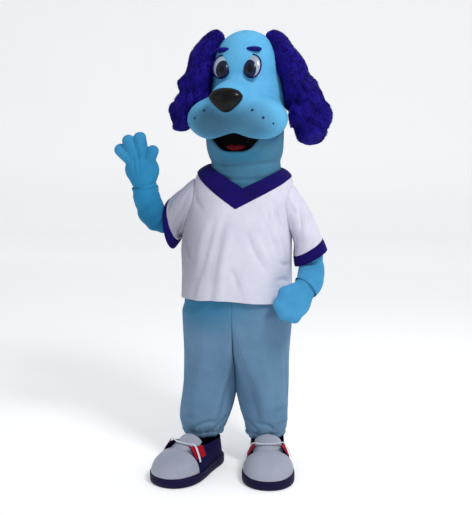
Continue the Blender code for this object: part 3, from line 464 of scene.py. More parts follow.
def in_torso(place):
    """Below one inside the torso's squared oval at that height."""
    height = place[..., 2]
    off_x = place[..., 0] - column(SHIRT, "middle_x", height)
    off_y = place[..., 1] - column(SHIRT, "middle_y", height)
    push = shirt_push(np.arctan2(off_y, off_x), height) + 0.0005
    wide = np.abs(off_x) / (column(SHIRT, "half_width", height) + push)
    deep = np.abs(off_y) / (column(SHIRT, "half_depth", height) + push)
    return wide**SHIRT_SQUARE + deep**SHIRT_SQUARE


# Sleeves: one tube each of the same jersey, set into the armholes with a turned-in seam and
# finished by a ribbed cuff. Their creases gather at the armpits and over the bend of the arm.
CUFF_START = 1.004
CUFF_LENGTH = 0.296
RIB_WALL = 0.003
SLEEVE_RADIUS = 0.10
SLEEVE_RUMPLE = 0.0006
SEAM_RISE = 0.0012
# Creases like the shirt's, with the distance along the sleeve in place of the height.
SLEEVE_CREASES = {
    "left": [
        (60, 0.018, 120, 0.084, 0.010, -0.0060, 0.01),
        (100, 0.012, 150, 0.066, 0.010, -0.0070, 0.01),
        (30, 0.054, 70, 0.114, 0.012, -0.0050, -0.01),
        (190, 0.024, 150, 0.096, 0.012, -0.0065, 0.0),
        (250, 0.024, 215, 0.102, 0.012, -0.0060, 0.01),
        (300, 0.036, 330, 0.108, 0.012, -0.0050, 0.0),
    ],
    "right": [
        (20, 0.056, 95, 0.100, 0.011, -0.0080, 0.010),
        (5, 0.092, 80, 0.124, 0.010, 0.0055, 0.012),
        (40, 0.124, 110, 0.156, 0.011, -0.0075, -0.008),
        (30, 0.168, 100, 0.184, 0.010, -0.0050, 0.006),
        (120, 0.030, 150, 0.150, 0.013, -0.0080, 0.010),
        (60, 0.010, 75, 0.076, 0.012, 0.0050, 0.006),
        (200, 0.050, 170, 0.170, 0.012, -0.0065, 0.0),
        (250, 0.090, 330, 0.110, 0.012, -0.0075, 0.010),
        (240, 0.150, 310, 0.170, 0.012, -0.0060, -0.008),
    ],
}


def ring(count):
    """Angles spread evenly over a full turn, from 0."""
    return np.radians(np.linspace(0, 360, count, endpoint=False))


def bell(value, middle, width):
    """One at the middle, falling off on both sides as e to the minus square."""
    return np.exp(-(((value - middle) / width) ** 2))


def halve(shape, near, far, steps, holds):
    """Where a test that holds at near stops holding on the way to far, by halving the span."""
    near = np.full(shape, near)
    far = np.full(shape, far)
    for _ in range(steps):
        half = (near + far) / 2
        found = holds(half)
        near = np.where(found, half, near)
        far = np.where(found, far, half)
    return near


navy_rib = knit_look(
    "navy rib", (0.0060, 0.0010, 0.115), (0.0040, 0.0006, 0.085), 0.0030, 0.0012, 0.9, 0.0
)
sleeve_angle = ring(132)
sleeve_share = np.linspace(0, 1, 64)[:, None]
cuff_share = np.linspace(0, 1, 18)[:, None]
cuff_round = 0.0010 + 0.0012 * np.sin(math.pi * cuff_share) ** 0.5
for side, table, reach, sleeve_flat, cuff_flat in (
    ("left", SLEEVE_LEFT, 0.12, (0.66, 0.10), (0.60, 0.034)),
    ("right", SLEEVE_RIGHT, 0.20, (0.64, 0.18), (0.60, 0.047)),
):
    near = halve(
        sleeve_angle.shape, -0.2, 0.95, 24, lambda at: in_torso(sleeve_point(table, sleeve_angle, at)) < 1
    )
    at = near + (1.0 - near) * sleeve_share
    push = crease_push(SLEEVE_CREASES[side], sleeve_angle[None, :], at * reach, SLEEVE_RADIUS)
    push = push * smooth(sleeve_share, 0.0, 0.12) * smooth(sleeve_share, 1.02, 0.90)
    seam = SEAM_RISE * (bell(sleeve_share, 0.06, 0.03) - bell(sleeve_share, 0, 0.03))
    push = push + seam + rumple(sleeve_angle, at, SLEEVE_RUMPLE)
    sleeve_grid = sleeve_point(table, sleeve_angle, at, push)
    sleeve = cloth_piece(f"sleeve_{side}_cloth", sleeve_grid, True, white_jersey, SHIRT_WALL)
    dress(sleeve, "white_jersey", f"sleeve_{side}")
    cuff_grid = sleeve_point(table, sleeve_angle, CUFF_START + CUFF_LENGTH * cuff_share, cuff_round)
    cuff = cloth_piece(f"cuff_{side}_cloth", cuff_grid, True, navy_rib, RIB_WALL)
    dress(cuff, "navy_rib", f"cuff_{side}")

# Collar: a navy rib band doubled over, mitred at the V and stitched to the neckline; its inner
# edge lies against the neck of the head.
COLLAR_TOP = (1.295, 1.388, 1.408)
NECK_SQUARE = 2.2
HEAD_PLACE = np.array([0.036, 0.0, 0.0])
HEAD_YAW = math.radians(-11)
NECK = {
    "at": [1.22, 1.30, 1.38, 1.41, 1.43, 1.46, 1.50, 1.60],
    "half_width": [0.166, 0.163, 0.159, 0.158, 0.164, 0.171, 0.174, 0.174],
    "half_depth": [0.152, 0.152, 0.150, 0.150, 0.156, 0.166, 0.172, 0.160],
    "middle_y": [0.010, 0.008, 0.004, 0.000, -0.004, -0.010, -0.016, 0.000],
}


def turned(points):
    """From the head's own frame to the costume's: a turn about the upright axis and a shift."""
    c, s = math.cos(HEAD_YAW), math.sin(HEAD_YAW)
    x = points[..., 0] * c - points[..., 1] * s
    y = points[..., 0] * s + points[..., 1] * c
    return stack(x, y, points[..., 2]) + HEAD_PLACE


def neck_point(angle, height, out=0.0):
    """A point of the neck's squared oval, in the head's own frame."""
    x, y = oval_at(NECK, angle, height, out, NECK_SQUARE)
    return stack(x, y + column(NECK, "middle_y", height), height)


collar_angle = ring(320)
collar_low = shirt_point(collar_angle, neckline_height(collar_angle, *NECKLINE) + 0.0007)
inner_height = neckline_height(collar_angle, *COLLAR_TOP)
collar_high = turned(neck_point(collar_angle - HEAD_YAW, inner_height, 0.0070))
collar_share = np.linspace(0, 1, 22)[:, None, None]
collar_out = stack(np.cos(collar_angle), np.sin(collar_angle), 0.9)
swell = 0.0020 + 0.0036 * np.sin(math.pi * collar_share) ** 0.7 - 0.0016 * bell(collar_share, 0.07, 0.03)
collar_grid = collar_low * (1 - collar_share) + collar_high * collar_share + swell * collar_out
collar = cloth_piece("collar_band", collar_grid, True, navy_rib, RIB_WALL)
dress(collar, "navy_rib", "collar")

# Trousers: two halves of blue grey fleece, joined by the crotch seam, worn high under the shirt
# and gathered by elastic at the ankles, where the cloth blouses over the shoes.
PLUSH_WALL = 0.003
CROTCH_SEAM = -0.004
CROTCH_HEIGHT = 0.36
HALF_GAP = 0.00015
UNDER_SHIRT = -0.016
LEG_RADIUS = 0.14
LEG_RUMPLE = 0.0010
HIPS = {
    "at": [0.10, 0.40, 0.55, 0.70, 0.76, 0.80, 0.92],
    "half_width": [0.244, 0.245, 0.250, 0.257, 0.255, 0.255, 0.252],
    "half_depth": [0.170, 0.185, 0.200, 0.208, 0.210, 0.211, 0.212],
    "middle_x": [-0.010, -0.010, -0.007, -0.004, -0.005, -0.006, -0.006],
}
# The legs' rows: height, how much of each is still the hips, and how far forward its middle is.
LEG_ROWS = {
    "at": [0.135, 0.155, 0.19, 0.24, 0.33, 0.40, 0.48, 0.58, 0.68, 0.78, 0.92],
    "hips": [0.0, 0.0, 0.0, 0.0, 0.05, 0.20, 0.45, 0.75, 0.95, 1.0, 1.0],
    "middle_y": [-0.050, -0.050, -0.044, -0.032, -0.018, -0.008, 0.0, 0.0, 0.0, 0.0, 0.0],
}
LEG_LEFT = {
    **LEG_ROWS,
    "middle_x": [-0.16, -0.16, -0.157, -0.15, -0.141, -0.138, -0.135, -0.13, -0.125, -0.125, -0.125],
    "half_width": [0.087, 0.094, 0.110, 0.120, 0.125, 0.126, 0.126, 0.125, 0.125, 0.125, 0.125],
    "half_depth": [0.088, 0.094, 0.112, 0.128, 0.142, 0.152, 0.165, 0.180, 0.190, 0.200, 0.200],
}
LEG_RIGHT = {
    **LEG_ROWS,
    "middle_x": [0.136, 0.137, 0.138, 0.134, 0.128, 0.126, 0.124, 0.125, 0.125, 0.125, 0.125],
    "half_width": [0.082, 0.088, 0.097, 0.108, 0.121, 0.124, 0.124, 0.125, 0.125, 0.125, 0.125],
    "half_depth": [0.084, 0.089, 0.104, 0.122, 0.140, 0.152, 0.165, 0.180, 0.190, 0.200, 0.200],
}
# Drapes, like the shirt's creases: the angle is round the leg, and 270 is the front.
TROUSER_DRAPES = {
    "left": [
        (300, 0.66, 292, 0.24, 0.020, 0.0075, 0.010),
        (322, 0.60, 318, 0.28, 0.018, -0.0070, 0.006),
        (262, 0.64, 268, 0.25, 0.022, -0.0080, -0.010),
        (235, 0.60, 238, 0.22, 0.020, 0.0070, 0.008),
        (215, 0.50, 226, 0.22, 0.014, -0.0060, 0.0),
        (235, 0.215, 285, 0.185, 0.011, -0.0080, -0.012),
        (195, 0.235, 232, 0.175, 0.011, -0.0070, -0.006),
        (290, 0.235, 335, 0.200, 0.012, -0.0070, -0.012),
        (60, 0.62, 70, 0.24, 0.024, -0.0085, 0.010),
        (100, 0.60, 96, 0.22, 0.020, 0.0070, -0.008),
        (130, 0.56, 120, 0.24, 0.020, -0.0070, 0.008),
        (60, 0.225, 120, 0.19, 0.012, -0.0075, -0.012),
        (165, 0.50, 170, 0.24, 0.018, 0.0055, 0.0),
    ],
    "right": [
        (252, 0.70, 258, 0.24, 0.020, -0.0085, 0.012),
        (272, 0.68, 276, 0.26, 0.022, 0.0080, -0.008),
        (300, 0.66, 296, 0.22, 0.018, -0.0075, -0.014),
        (322, 0.60, 322, 0.26, 0.016, 0.0060, 0.006),
        (338, 0.50, 342, 0.30, 0.014, -0.0065, 0.006),
        (296, 0.26, 340, 0.255, 0.012, -0.0095, -0.020),
        (305, 0.225, 345, 0.215, 0.012, 0.0070, -0.012),
        (255, 0.215, 300, 0.185, 0.011, -0.0075, -0.012),
        (205, 0.225, 245, 0.190, 0.011, -0.0070, -0.010),
        (62, 0.62, 72, 0.24, 0.022, -0.0085, -0.010),
        (95, 0.60, 100, 0.22, 0.020, 0.0070, 0.010),
        (128, 0.58, 122, 0.26, 0.020, -0.0075, -0.008),
        (62, 0.225, 118, 0.19, 0.012, -0.0075, -0.012),
        (12, 0.48, 16, 0.24, 0.018, -0.0060, 0.0),
    ],
}


def hips_point(angle, height, out):
    """The hips' oval; from just under the shirt's hem up it lies inside the shirt's deepest folds."""
    x, y = oval_at(HIPS, angle, height, out, SHIRT_SQUARE)
    own = stack(x + column(HIPS, "middle_x", height), y, height)
    share = smooth(height, 0.715, 0.765)[..., None]
    return own * (1 - share) + torso_point(angle, height, UNDER_SHIRT) * share


def leg_point(table, drapes, angle, height):
    """One half of the trousers: the hips' outer half above, blended into a leg's own oval."""
    side = 1.0 if table is LEG_RIGHT else -1.0
    share = column(table, "hips", height)
    c, s = np.cos(angle), np.sin(angle)
    turn = np.where(side > 0, angle, math.pi - angle)
    push = crease_push(drapes, np.mod(angle, 2 * math.pi), height, LEG_RADIUS)
    push = push * smooth(height, 0.15, 0.19) * (1 - smooth(height, 0.62, 0.74))
    waves = rumple(angle, height, LEG_RUMPLE)
    half = hips_point(turn, height, push * 0.8 + waves)
    seam_y = hips_point(np.where(s > 0, math.pi / 2, 3 * math.pi / 2), height, 0 * push)[..., 1]
    half_x = np.where(c > 0, half[..., 0], -side * 0.06 * np.abs(c) + 0 * height)
    half_y = np.where(c > 0, half[..., 1], seam_y * np.abs(s))
    low = smooth(height, 0.21, 0.150)
    pleat = 0.0042 * np.cos(8 * angle) + 0.0022 * np.cos(19 * angle + 1.3) + 0.0014 * np.cos(31 * angle + 0.4)
    crease = 0.006 * np.cos(3 * angle + 9 * height) * smooth(height, 0.16, 0.26)
    crease = crease * (1 - smooth(height, 0.5, 0.7))
    hem = 0.0030 * bell(height, 0.147, 0.008) - 0.0022 * bell(height, 0.162, 0.006)
    reach = push + pleat * low * 0.9 + crease + waves + hem
    x = column(table, "middle_x", height) + side * (column(table, "half_width", height) + reach) * c
    y = column(table, "middle_y", height) + (column(table, "half_depth", height) + reach) * s
    return stack(share * half_x + (1 - share) * x, share * half_y + (1 - share) * y, height)


def pile_look(name, tone, deep, patch, pile, depth, roughness=0.95, sheen=0.2):
    """Short pile: clumps of fibre as two scales of bump, over nap that lightens in patches."""
    look, tree, shader, place = finish_look(name, tone, deep, patch, roughness, sheen)
    tuft = add_node(tree, "ShaderNodeTexNoise", Scale=0.35 / pile, Detail=5.0, Roughness=0.75)
    brushed = add_node(tree, "ShaderNodeTexNoise", Scale=26.0, Detail=3.0)
    for texture in (tuft, brushed):
        tree.links.new(place.outputs["Object"], texture.inputs["Vector"])
    both = add_node(tree, "ShaderNodeMath", operation="MULTIPLY_ADD")
    both.inputs[1].default_value = 1.6
    tree.links.new(brushed.outputs["Fac"], both.inputs[0])
    tree.links.new(tuft.outputs["Fac"], both.inputs[2])
    add_relief(tree, shader, both.outputs[0], 0.7, depth)
    return look


grey_fleece = pile_look(
    "grey blue fleece", (0.135, 0.250, 0.385), (0.105, 0.210, 0.335), 7.0, 0.0020, 0.0016
)
# Painted shade: a darker, bluer patch at the top of the left front, under the shirt's hem.
tint(grey_fleece, (-0.16, -0.10, 0.83), (0.42, 0.60, 0.24), (0.020, 0.165, 0.310), 0.85)


def off_crotch_seam(place):
    """Where a trouser half is cloth: everywhere below the crotch, and clear of the seam above it."""
    on_seam = np.abs(np.abs(place[:, 0] - CROTCH_SEAM) - HALF_GAP) < 1e-5
    return ~on_seam | (place[:, 2] < CROTCH_HEIGHT)


leg_angle = ring(150)[None, :]
leg_height = np.concatenate([np.linspace(0.135, 0.26, 42), np.linspace(0.265, 0.88, 72)])[:, None]
for side, table, sign in (("left", LEG_LEFT, -1), ("right", LEG_RIGHT, 1)):
    middle = CROTCH_SEAM + sign * HALF_GAP
    leg = leg_point(table, TROUSER_DRAPES[side], leg_angle, leg_height)
    leg[..., 0] = np.where(sign * (leg[..., 0] - middle) < 0, middle, leg[..., 0])
    trousers = cloth_piece(f"trousers_{side}_cloth", leg, True, grey_fleece, PLUSH_WALL, off_crotch_seam)
    dress(trousers, "grey_fleece", f"trousers_{side}")

# Neck and jaw: one tube of sky blue plush sewn under the head, with a soft foam lip rolled into
# its front edge. It creases where the head turns on it. The mouth behind the lip is lined in
# black cloth and holds a red felt tongue.
NECK_BASE = 1.235
NECK_TOP = 1.590
LIP_TOP = 1.448
LIP_ROLL = 0.009
IN_HEAD = 0.009
NECK_RADIUS = 0.165
NECK_RUMPLE = 0.0007
HEAD_CENTRE = np.array([0.0, -0.05, 1.66])
# Eggs that make up the head: the middle and half sizes of each, joined softly over a distance.
EGG_BLEND = 0.016
HEAD_EGGS = [
    {"middle": (0.0, 0.020, 1.838), "half": (0.152, 0.165, 0.158)},
    {"middle": (0.0, 0.030, 1.700), "half": (0.172, 0.165, 0.170)},
    {"middle": (0.104, -0.125, 1.600), "half": (0.119, 0.135, 0.092)},
    {"middle": (-0.104, -0.125, 1.600), "half": (0.119, 0.135, 0.092)},
    {"middle": (0.0, -0.145, 1.685), "half": (0.100, 0.150, 0.082)},
    {"middle": (0.0, 0.015, 1.585), "half": (0.172, 0.165, 0.110)},
]
NECK_CREASES = [
    (205, 1.412, 335, 1.408, 0.009, -0.0075, 0.012),
    (215, 1.352, 330, 1.345, 0.010, -0.0060, 0.016),
    (230, 1.300, 290, 1.318, 0.011, -0.0040, 0.008),
    (20, 1.420, 150, 1.425, 0.012, -0.0060, -0.010),
]


def head_field(place):
    """Below zero inside the head: the distances of its eggs, joined softly."""
    total = 0.0
    for egg in HEAD_EGGS:
        offset = (place - np.array(egg["middle"])) / np.array(egg["half"])
        distance = (np.sqrt((offset**2).sum(axis=-1)) - 1) * min(egg["half"])
        total = total + np.exp(-distance / EGG_BLEND)
    return -EGG_BLEND * np.log(total)


# Painted shade: the neck's plush is a darker copy of the head's sky blue plush, for the shade under the
# muzzle.
neck_plush = pile_look("neck plush", (0.060, 0.190, 0.300), (0.045, 0.150, 0.250), 8.0, 0.0018, 0.0016)
# Painted shadow: a bluer band along the lip, under the muzzle's edge.
tint(neck_plush, (0.03, -0.17, 1.44), (0.16, 0.08, 0.045), (0.030, 0.190, 0.330), 0.7)
neck_angle = ring(168)
front_share = smooth(-np.sin(neck_angle), 0.53, 1.0)
free_top = NECK_TOP - (NECK_TOP - LIP_TOP) * front_share
head_edge = halve(
    neck_angle.shape, 1.43, 1.60, 20, lambda height: head_field(neck_point(neck_angle, height)) > 0
)
neck_top = np.minimum(free_top, head_edge + IN_HEAD)
lip = smooth(neck_top, 1.535, 1.475)
neck_height = NECK_BASE + np.linspace(0, 1, 68)[:, None] * (neck_top - NECK_BASE)
neck_crease = crease_push(NECK_CREASES, neck_angle[None, :], neck_height, NECK_RADIUS)
lip_swell = lip * 0.007 * bell(neck_height, neck_top - 0.012, 0.014)
neck_push = neck_crease + lip_swell + rumple(neck_angle, neck_height, NECK_RUMPLE)
neck_body = neck_point(neck_angle, neck_height, neck_push)
roll = np.linspace(0.15, 1.0, 12)[:, None] * math.pi
roll_in = -LIP_ROLL * lip * (1 - np.cos(roll)) + lip_swell[-1]
lip_rows = neck_point(neck_angle, neck_top + 0 * roll, roll_in)
lip_rows[..., 2] += LIP_ROLL * lip * np.sin(roll)
neck = cloth_piece("neck_tube", turned(np.concatenate([neck_body, lip_rows])), True, neck_plush, PLUSH_WALL)
dress(neck, "sky_plush", "neck")

LINING_WALL = 0.002
BOWL_DEPTH = 0.085
bowl_angle = np.radians(np.linspace(210, 330, 60))[None, :]
bowl_height = np.linspace(1.415, 1.60, 50)[:, None]
bowl_side = np.cos(np.linspace(-math.pi / 2, math.pi / 2, 60))[None, :]
bowl_rise = np.sin(np.linspace(0.0, 0.85 * math.pi, 50))[:, None]
bowl = neck_point(bowl_angle, bowl_height, -0.0052)
bowl[..., 1] += BOWL_DEPTH * bowl_side * bowl_rise
black_cloth = knit_look("black mouth cloth", (0.006, 0.006, 0.008), (0.003, 0.003, 0.004), 0.0018, 0.0006)
lining = cloth_piece("mouth_lining_cloth", turned(bowl), False, black_cloth, LINING_WALL)
dress(lining, "black_cloth", "mouth_lining")

TONGUE = {
    "at": [0.0, 0.2, 0.5, 0.8, 1.0],
    "y": [-0.1232, -0.129, -0.143, -0.156, -0.162],
    "z": [1.462, 1.470, 1.478, 1.474, 1.466],
    "half_width": [0.030, 0.040, 0.044, 0.036, 0.016],
    "half_height": [0.006, 0.009, 0.010, 0.008, 0.004],
}


def closed_piece(name, rings, look):
    """A closed body through rings of points, with a cap of triangles over each end."""
    rings = np.array(rings, float)
    rings[..., 2] += FLOOR
    rows, columns = rings.shape[:2]
    faces = grid_faces(rows, columns, True)
    flat = np.concatenate([rings.reshape(-1, 3), rings[:1].mean(axis=1), rings[-1:].mean(axis=1)])
    first, last = rows * columns, rows * columns + 1
    col = np.arange(columns)
    after = (col + 1) % columns
    top = (rows - 1) * columns
    low = np.stack([np.full(columns, first), after, col], axis=-1)
    high = np.stack([np.full(columns, last), top + col, top + after], axis=-1)
    corner = flat[faces] - flat[first]
    volume = np.einsum("ij,ij->i", corner[:, 0], np.cross(corner[:, 1], corner[:, 2])).sum()
    lists = faces.tolist() + low.tolist() + high.tolist()
    if volume < 0:
        lists = [face[::-1] for face in lists]
    return new_piece(name, flat.tolist(), lists, look)


red_felt = pile_look("red felt", (0.150, 0.004, 0.010), (0.110, 0.003, 0.008), 30.0, 0.0010, 0.0006, 0.9, 0.0)
tongue_at = np.linspace(0, 1, 28)[:, None]
tongue_angle = ring(40)[None, :]
tongue_x = column(TONGUE, "half_width", tongue_at) * np.cos(tongue_angle)
groove = -0.004 * bell(tongue_x, 0, 0.008) * (np.sin(tongue_angle) > 0)
tongue_rise = column(TONGUE, "half_height", tongue_at) * np.sin(tongue_angle)
tongue_z = column(TONGUE, "z", tongue_at) + tongue_rise + groove
tongue_grid = stack(tongue_x, column(TONGUE, "y", tongue_at), tongue_z)
tongue = closed_piece("mouth_tongue_felt", turned(tongue_grid), red_felt)
dress(tongue, "red_felt", "mouth_tongue")

# Head: carved foam covered in sky blue plush, a plain rounded crown over a broad soft muzzle.
# The plush is stretched over the foam, darted under the eyes and closed by a seam behind.
HEAD_WALL = 0.012
# Darts and dimples: a place in the head's frame, its size and how deep the plush is drawn in.
HEAD_DIMPLES = [
    {"at": (0.070, -0.140, 1.765), "size": (0.046, 0.040, 0.011), "push": -0.0050},
    {"at": (-0.070, -0.140, 1.765), "size": (0.046, 0.040, 0.011), "push": -0.0050},
    {"at": (0.0, -0.160, 1.790), "size": (0.016, 0.040, 0.060), "push": -0.0030},
    {"at": (0.0, -0.270, 1.590), "size": (0.008, 0.060, 0.050), "push": -0.0060},
    {"at": (0.150, -0.040, 1.690), "size": (0.050, 0.060, 0.012), "push": -0.0035},
    {"at": (-0.150, -0.040, 1.690), "size": (0.050, 0.060, 0.012), "push": -0.0035},
]


def head_surface(azimuth, polar):
    """Where rays from the head's centre leave its field, found by halving; with the rays."""
    ray = stack(np.cos(azimuth) * np.sin(polar), np.sin(azimuth) * np.sin(polar), np.cos(polar))
    reach = halve(
        ray.shape[:-1], 0.05, 0.60, 34, lambda away: head_field(HEAD_CENTRE + ray * away[..., None]) < 0
    )
    return HEAD_CENTRE + ray * reach[..., None], ray


head_azimuth = ring(156)
head_polar = np.radians(np.concatenate([[0.4], np.linspace(2.5, 134, 98)]))[:, None]
head_bare, ray = head_surface(head_azimuth, head_polar)
head_push = 0.0008 * np.sin(31 * head_bare[..., 0] + 17 * head_bare[..., 2])
head_push = head_push + 0.0008 * np.sin(23 * head_bare[..., 1] - 29 * head_bare[..., 2] + 1.0)
for dimple in HEAD_DIMPLES:
    apart = (head_bare - np.array(dimple["at"])) / np.array(dimple["size"])
    head_push = head_push + dimple["push"] * np.exp(-(apart**2).sum(axis=-1))
head_push = head_push - 0.0025 * bell(head_azimuth, math.pi / 2, 0.018)
head_plush = pile_look("head plush", (0.120, 0.440, 0.720), (0.090, 0.370, 0.650), 8.0, 0.0018, 0.0016)
# Greyer patches low on the muzzle: partly the muzzle's own greyer dye, partly painted shade under it,
# stronger on the left side away from the key light.
for sign, share in ((-1, 0.85), (1, 0.65)):
    jowl = turned(np.array([0.085 * sign, -0.225, 1.580]))
    tint(head_plush, jowl, (0.165, 0.170, 0.120), (0.045, 0.105, 0.165), share)
head = cloth_piece("head_plush", turned(head_bare + ray * head_push[..., None]), True, head_plush, 0)
add_wall(head, HEAD_WALL, "foam")
dress(head, "sky_plush", "head_shell")

# Nose: a padded pad of glossy black vinyl, glued to the muzzle. It is an egg, narrowed towards its
# bottom and flattened a little on top.
NOSE = {"middle": (0.0, -0.284, 1.676), "half": (0.077, 0.041, 0.054), "taper": 0.42, "flat": 0.10}


def leant(x, y, z, tilt, middle):
    """Turned back about X, then moved to its middle."""
    c, s = math.cos(tilt), math.sin(tilt)
    return stack(x + middle[0], y * c - z * s + middle[1], y * s + z * c + middle[2])


def egg_rings(middle, half, rows, columns, tilt=0.0, taper=0.0, flat=0.0):
    """Rings of an egg: x narrows towards the bottom by taper, the top flattens by flat, and it
    leans back by tilt about X."""
    polar = np.linspace(0.04, math.pi - 0.04, rows)[:, None]
    azimuth = ring(columns)[None, :]
    rise = np.cos(polar)
    narrow = 1 - taper * smooth(-rise, -0.35, 1.0)
    x = half[0] * np.sin(polar) ** 0.92 * np.cos(azimuth) * narrow
    y = half[1] * np.sin(polar) * np.sin(azimuth)
    z = half[2] * rise * (1 - flat * np.clip(rise, 0, 1))
    return turned(leant(x, y, z, tilt, middle))


def grained_look(name, tone, deep, patch, roughness, grain, relief, coat=0.0):
    """A hard surface with a fine grain, given by its scale and detail, as slight bump."""
    look, tree, shader, place = finish_look(name, tone, deep, patch, roughness, 0.0, coat)
    noise = add_node(tree, "ShaderNodeTexNoise", Scale=grain[0], Detail=grain[1])
    tree.links.new(place.outputs["Object"], noise.inputs["Vector"])
    add_relief(tree, shader, noise.outputs["Fac"], *relief)
    return look, shader


black_gloss, shader = grained_look(
    "black gloss vinyl", (0.003, 0.0028, 0.0034), (0.0016, 0.0015, 0.002), 20.0, 0.28,
    grain=(700.0, 3.0), relief=(0.12, 0.0004), coat=0.08,
)
shader.inputs["Specular IOR Level"].default_value = 0.14
nose = closed_piece("nose_pad", egg_rings(**NOSE, rows=44, columns=60), black_gloss)
dress(nose, "black_gloss", "nose")

# Whisker spots: three small flat pads of navy felt on each cheek, in a slanting row. Each is given
# by its direction from the head's centre: degrees to the side of the front, and from straight up.
SPOTS = [(28.0, 97.0), (38.0, 103.5), (49.0, 108.5)]
SPOT_RADIUS = 0.0060
SPOT_RISE = 0.0018
navy_felt = pile_look(
    "navy felt", (0.012, 0.030, 0.110), (0.008, 0.020, 0.080), 40.0, 0.0010, 0.0006, 0.95, 0.0
)
spot_lean = np.linspace(0.05, math.pi - 0.05, 9)[:, None, None]
spot_turn = ring(20)[None, :, None]
for side, sign in (("left", -1), ("right", 1)):
    for index, (azimuth, polar) in enumerate(SPOTS):
        spot, spot_ray = head_surface(np.radians([-90 + sign * azimuth]), np.radians([polar]))
        axes = np.linalg.qr(np.concatenate([spot_ray, np.eye(3)[:2]]).T)[0].T
        round_it = np.cos(spot_turn) * axes[1] + np.sin(spot_turn) * axes[2]
        pad = spot[0] + SPOT_RADIUS * np.sin(spot_lean) * round_it
        pad = pad + SPOT_RISE * np.cos(spot_lean) * spot_ray[0]
        dress(closed_piece(f"whisker_spot_{index}_{side}", turned(pad), navy_felt), "blue_fur")

# Eyes: domes of satin white plastic let into the plush inside a narrow navy piping, each with a
# navy iris and a round black pupil under a clear coat. Brows: short pads of navy pile.
EYE_TILT = -0.25
BROW_TILT = -0.2
EYE_MIDDLE = (0.070, -0.126, 1.822)
EYE_HALF = (0.040, 0.022, 0.052)
PIPING_RADIUS = 0.0030
PIPING_FORWARD = -0.0080
eye_white = finish_look("eye white", (0.34, 0.40, 0.50), (0.26, 0.31, 0.40), 12.0, 0.30, 0.0, 0.3)[0]
iris_blue, _, shader, _ = finish_look(
    "iris navy", (0.006, 0.012, 0.045), (0.003, 0.005, 0.022), 90.0, 0.25, 0.0, 0.12
)
shader.inputs["Specular IOR Level"].default_value = 0.2
navy_pile = pile_look(
    "navy brow pile", (0.008, 0.010, 0.200), (0.005, 0.005, 0.130), 40.0, 0.0022, 0.0018, 0.95, 0.0
)
# Parts of an eye: name, solid, look, slot, how far it lies to the side, forward and up, its half
# sizes, and its rows and columns.
EYE_PARTS = [
    ("dome", "eye", eye_white, "eye_white", EYE_MIDDLE, EYE_HALF, 36, 48),
    ("iris", None, iris_blue, "black_gloss", (0.064, -0.1385, 1.815), (0.031, 0.0165, 0.041), 28, 40),
    ("pupil", "pupil", black_gloss, "black_gloss", (0.064, -0.1415, 1.812), (0.0215, 0.0155, 0.0285), 28, 40),
]
around = ring(72)[:, None]
tube = ring(10)[None, :]
for side, sign in (("left", -1), ("right", 1)):
    for name, node, look, slot, (aside, forward, up), half, rows, columns in EYE_PARTS:
        egg = egg_rings((aside * sign, forward, up), half, rows, columns, EYE_TILT)
        part = closed_piece(f"eye_{side}_{name}", egg, look)
        dress(part, slot, node and f"{node}_{side}")
    wide = (EYE_HALF[0] + PIPING_RADIUS * np.cos(tube)) * np.sin(around)
    tall = (EYE_HALF[2] + PIPING_RADIUS * np.cos(tube)) * np.cos(around)
    rim_y = PIPING_FORWARD + PIPING_RADIUS * np.sin(tube)
    rim = turned(leant(wide, rim_y, tall, EYE_TILT, (sign * EYE_MIDDLE[0], *EYE_MIDDLE[1:])))
    piping = cloth_piece(f"eye_{side}_piping", np.concatenate([rim, rim[:1]]), True, navy_rib, 0)
    dress(piping, "navy_rib")
    brow_egg = egg_rings((0.070 * sign, -0.112, 1.898), (0.037, 0.023, 0.011), 24, 36, BROW_TILT)
    brow = closed_piece(f"brow_{side}_pad", brow_egg, navy_pile)
    dress(brow, "blue_fur", f"brow_{side}")

# Ears: long stuffed flaps of waved royal blue pile hanging from the crown. The pile lies in
# strands above and in thicker overlapping clumps below, with short tufts all over.
EAR_RIGHT = {
    "at": [0.0, 0.10, 0.22, 0.36, 0.50, 0.66, 0.80, 0.92, 1.0],
    "x": [0.130, 0.170, 0.204, 0.242, 0.274, 0.308, 0.330, 0.339, 0.346],
    "y": [0.020, 0.015, 0.010, 0.000, -0.005, -0.010, -0.015, -0.015, -0.015],
    "z": [1.984, 1.948, 1.887, 1.812, 1.740, 1.665, 1.595, 1.530, 1.486],
    "half_width": [0.026, 0.048, 0.062, 0.070, 0.078, 0.090, 0.087, 0.075, 0.055],
    "half_depth": [0.035, 0.065, 0.085, 0.095, 0.100, 0.100, 0.092, 0.078, 0.055],
}
EAR_LEFT = {
    "at": [0.0, 0.10, 0.22, 0.36, 0.50, 0.66, 0.80, 0.92, 1.0],
    "x": [-0.066, -0.100, -0.140, -0.160, -0.183, -0.214, -0.241, -0.248, -0.246],
    "y": [-0.005, -0.010, -0.020, -0.030, -0.040, -0.045, -0.050, -0.050, -0.050],
    "z": [1.980, 1.955, 1.893, 1.820, 1.750, 1.680, 1.620, 1.572, 1.546],
    "half_width": [0.026, 0.046, 0.062, 0.070, 0.071, 0.068, 0.056, 0.044, 0.034],
    "half_depth": [0.035, 0.065, 0.085, 0.095, 0.098, 0.092, 0.080, 0.064, 0.045],
}
EAR_INSET = 0.0045
TUFTS = 7000
blue_fur = pile_look(
    "royal blue pile", (0.0100, 0.0030, 0.235), (0.0040, 0.0008, 0.120), 26.0, 0.0030, 0.0026, 0.9, 0.25
)


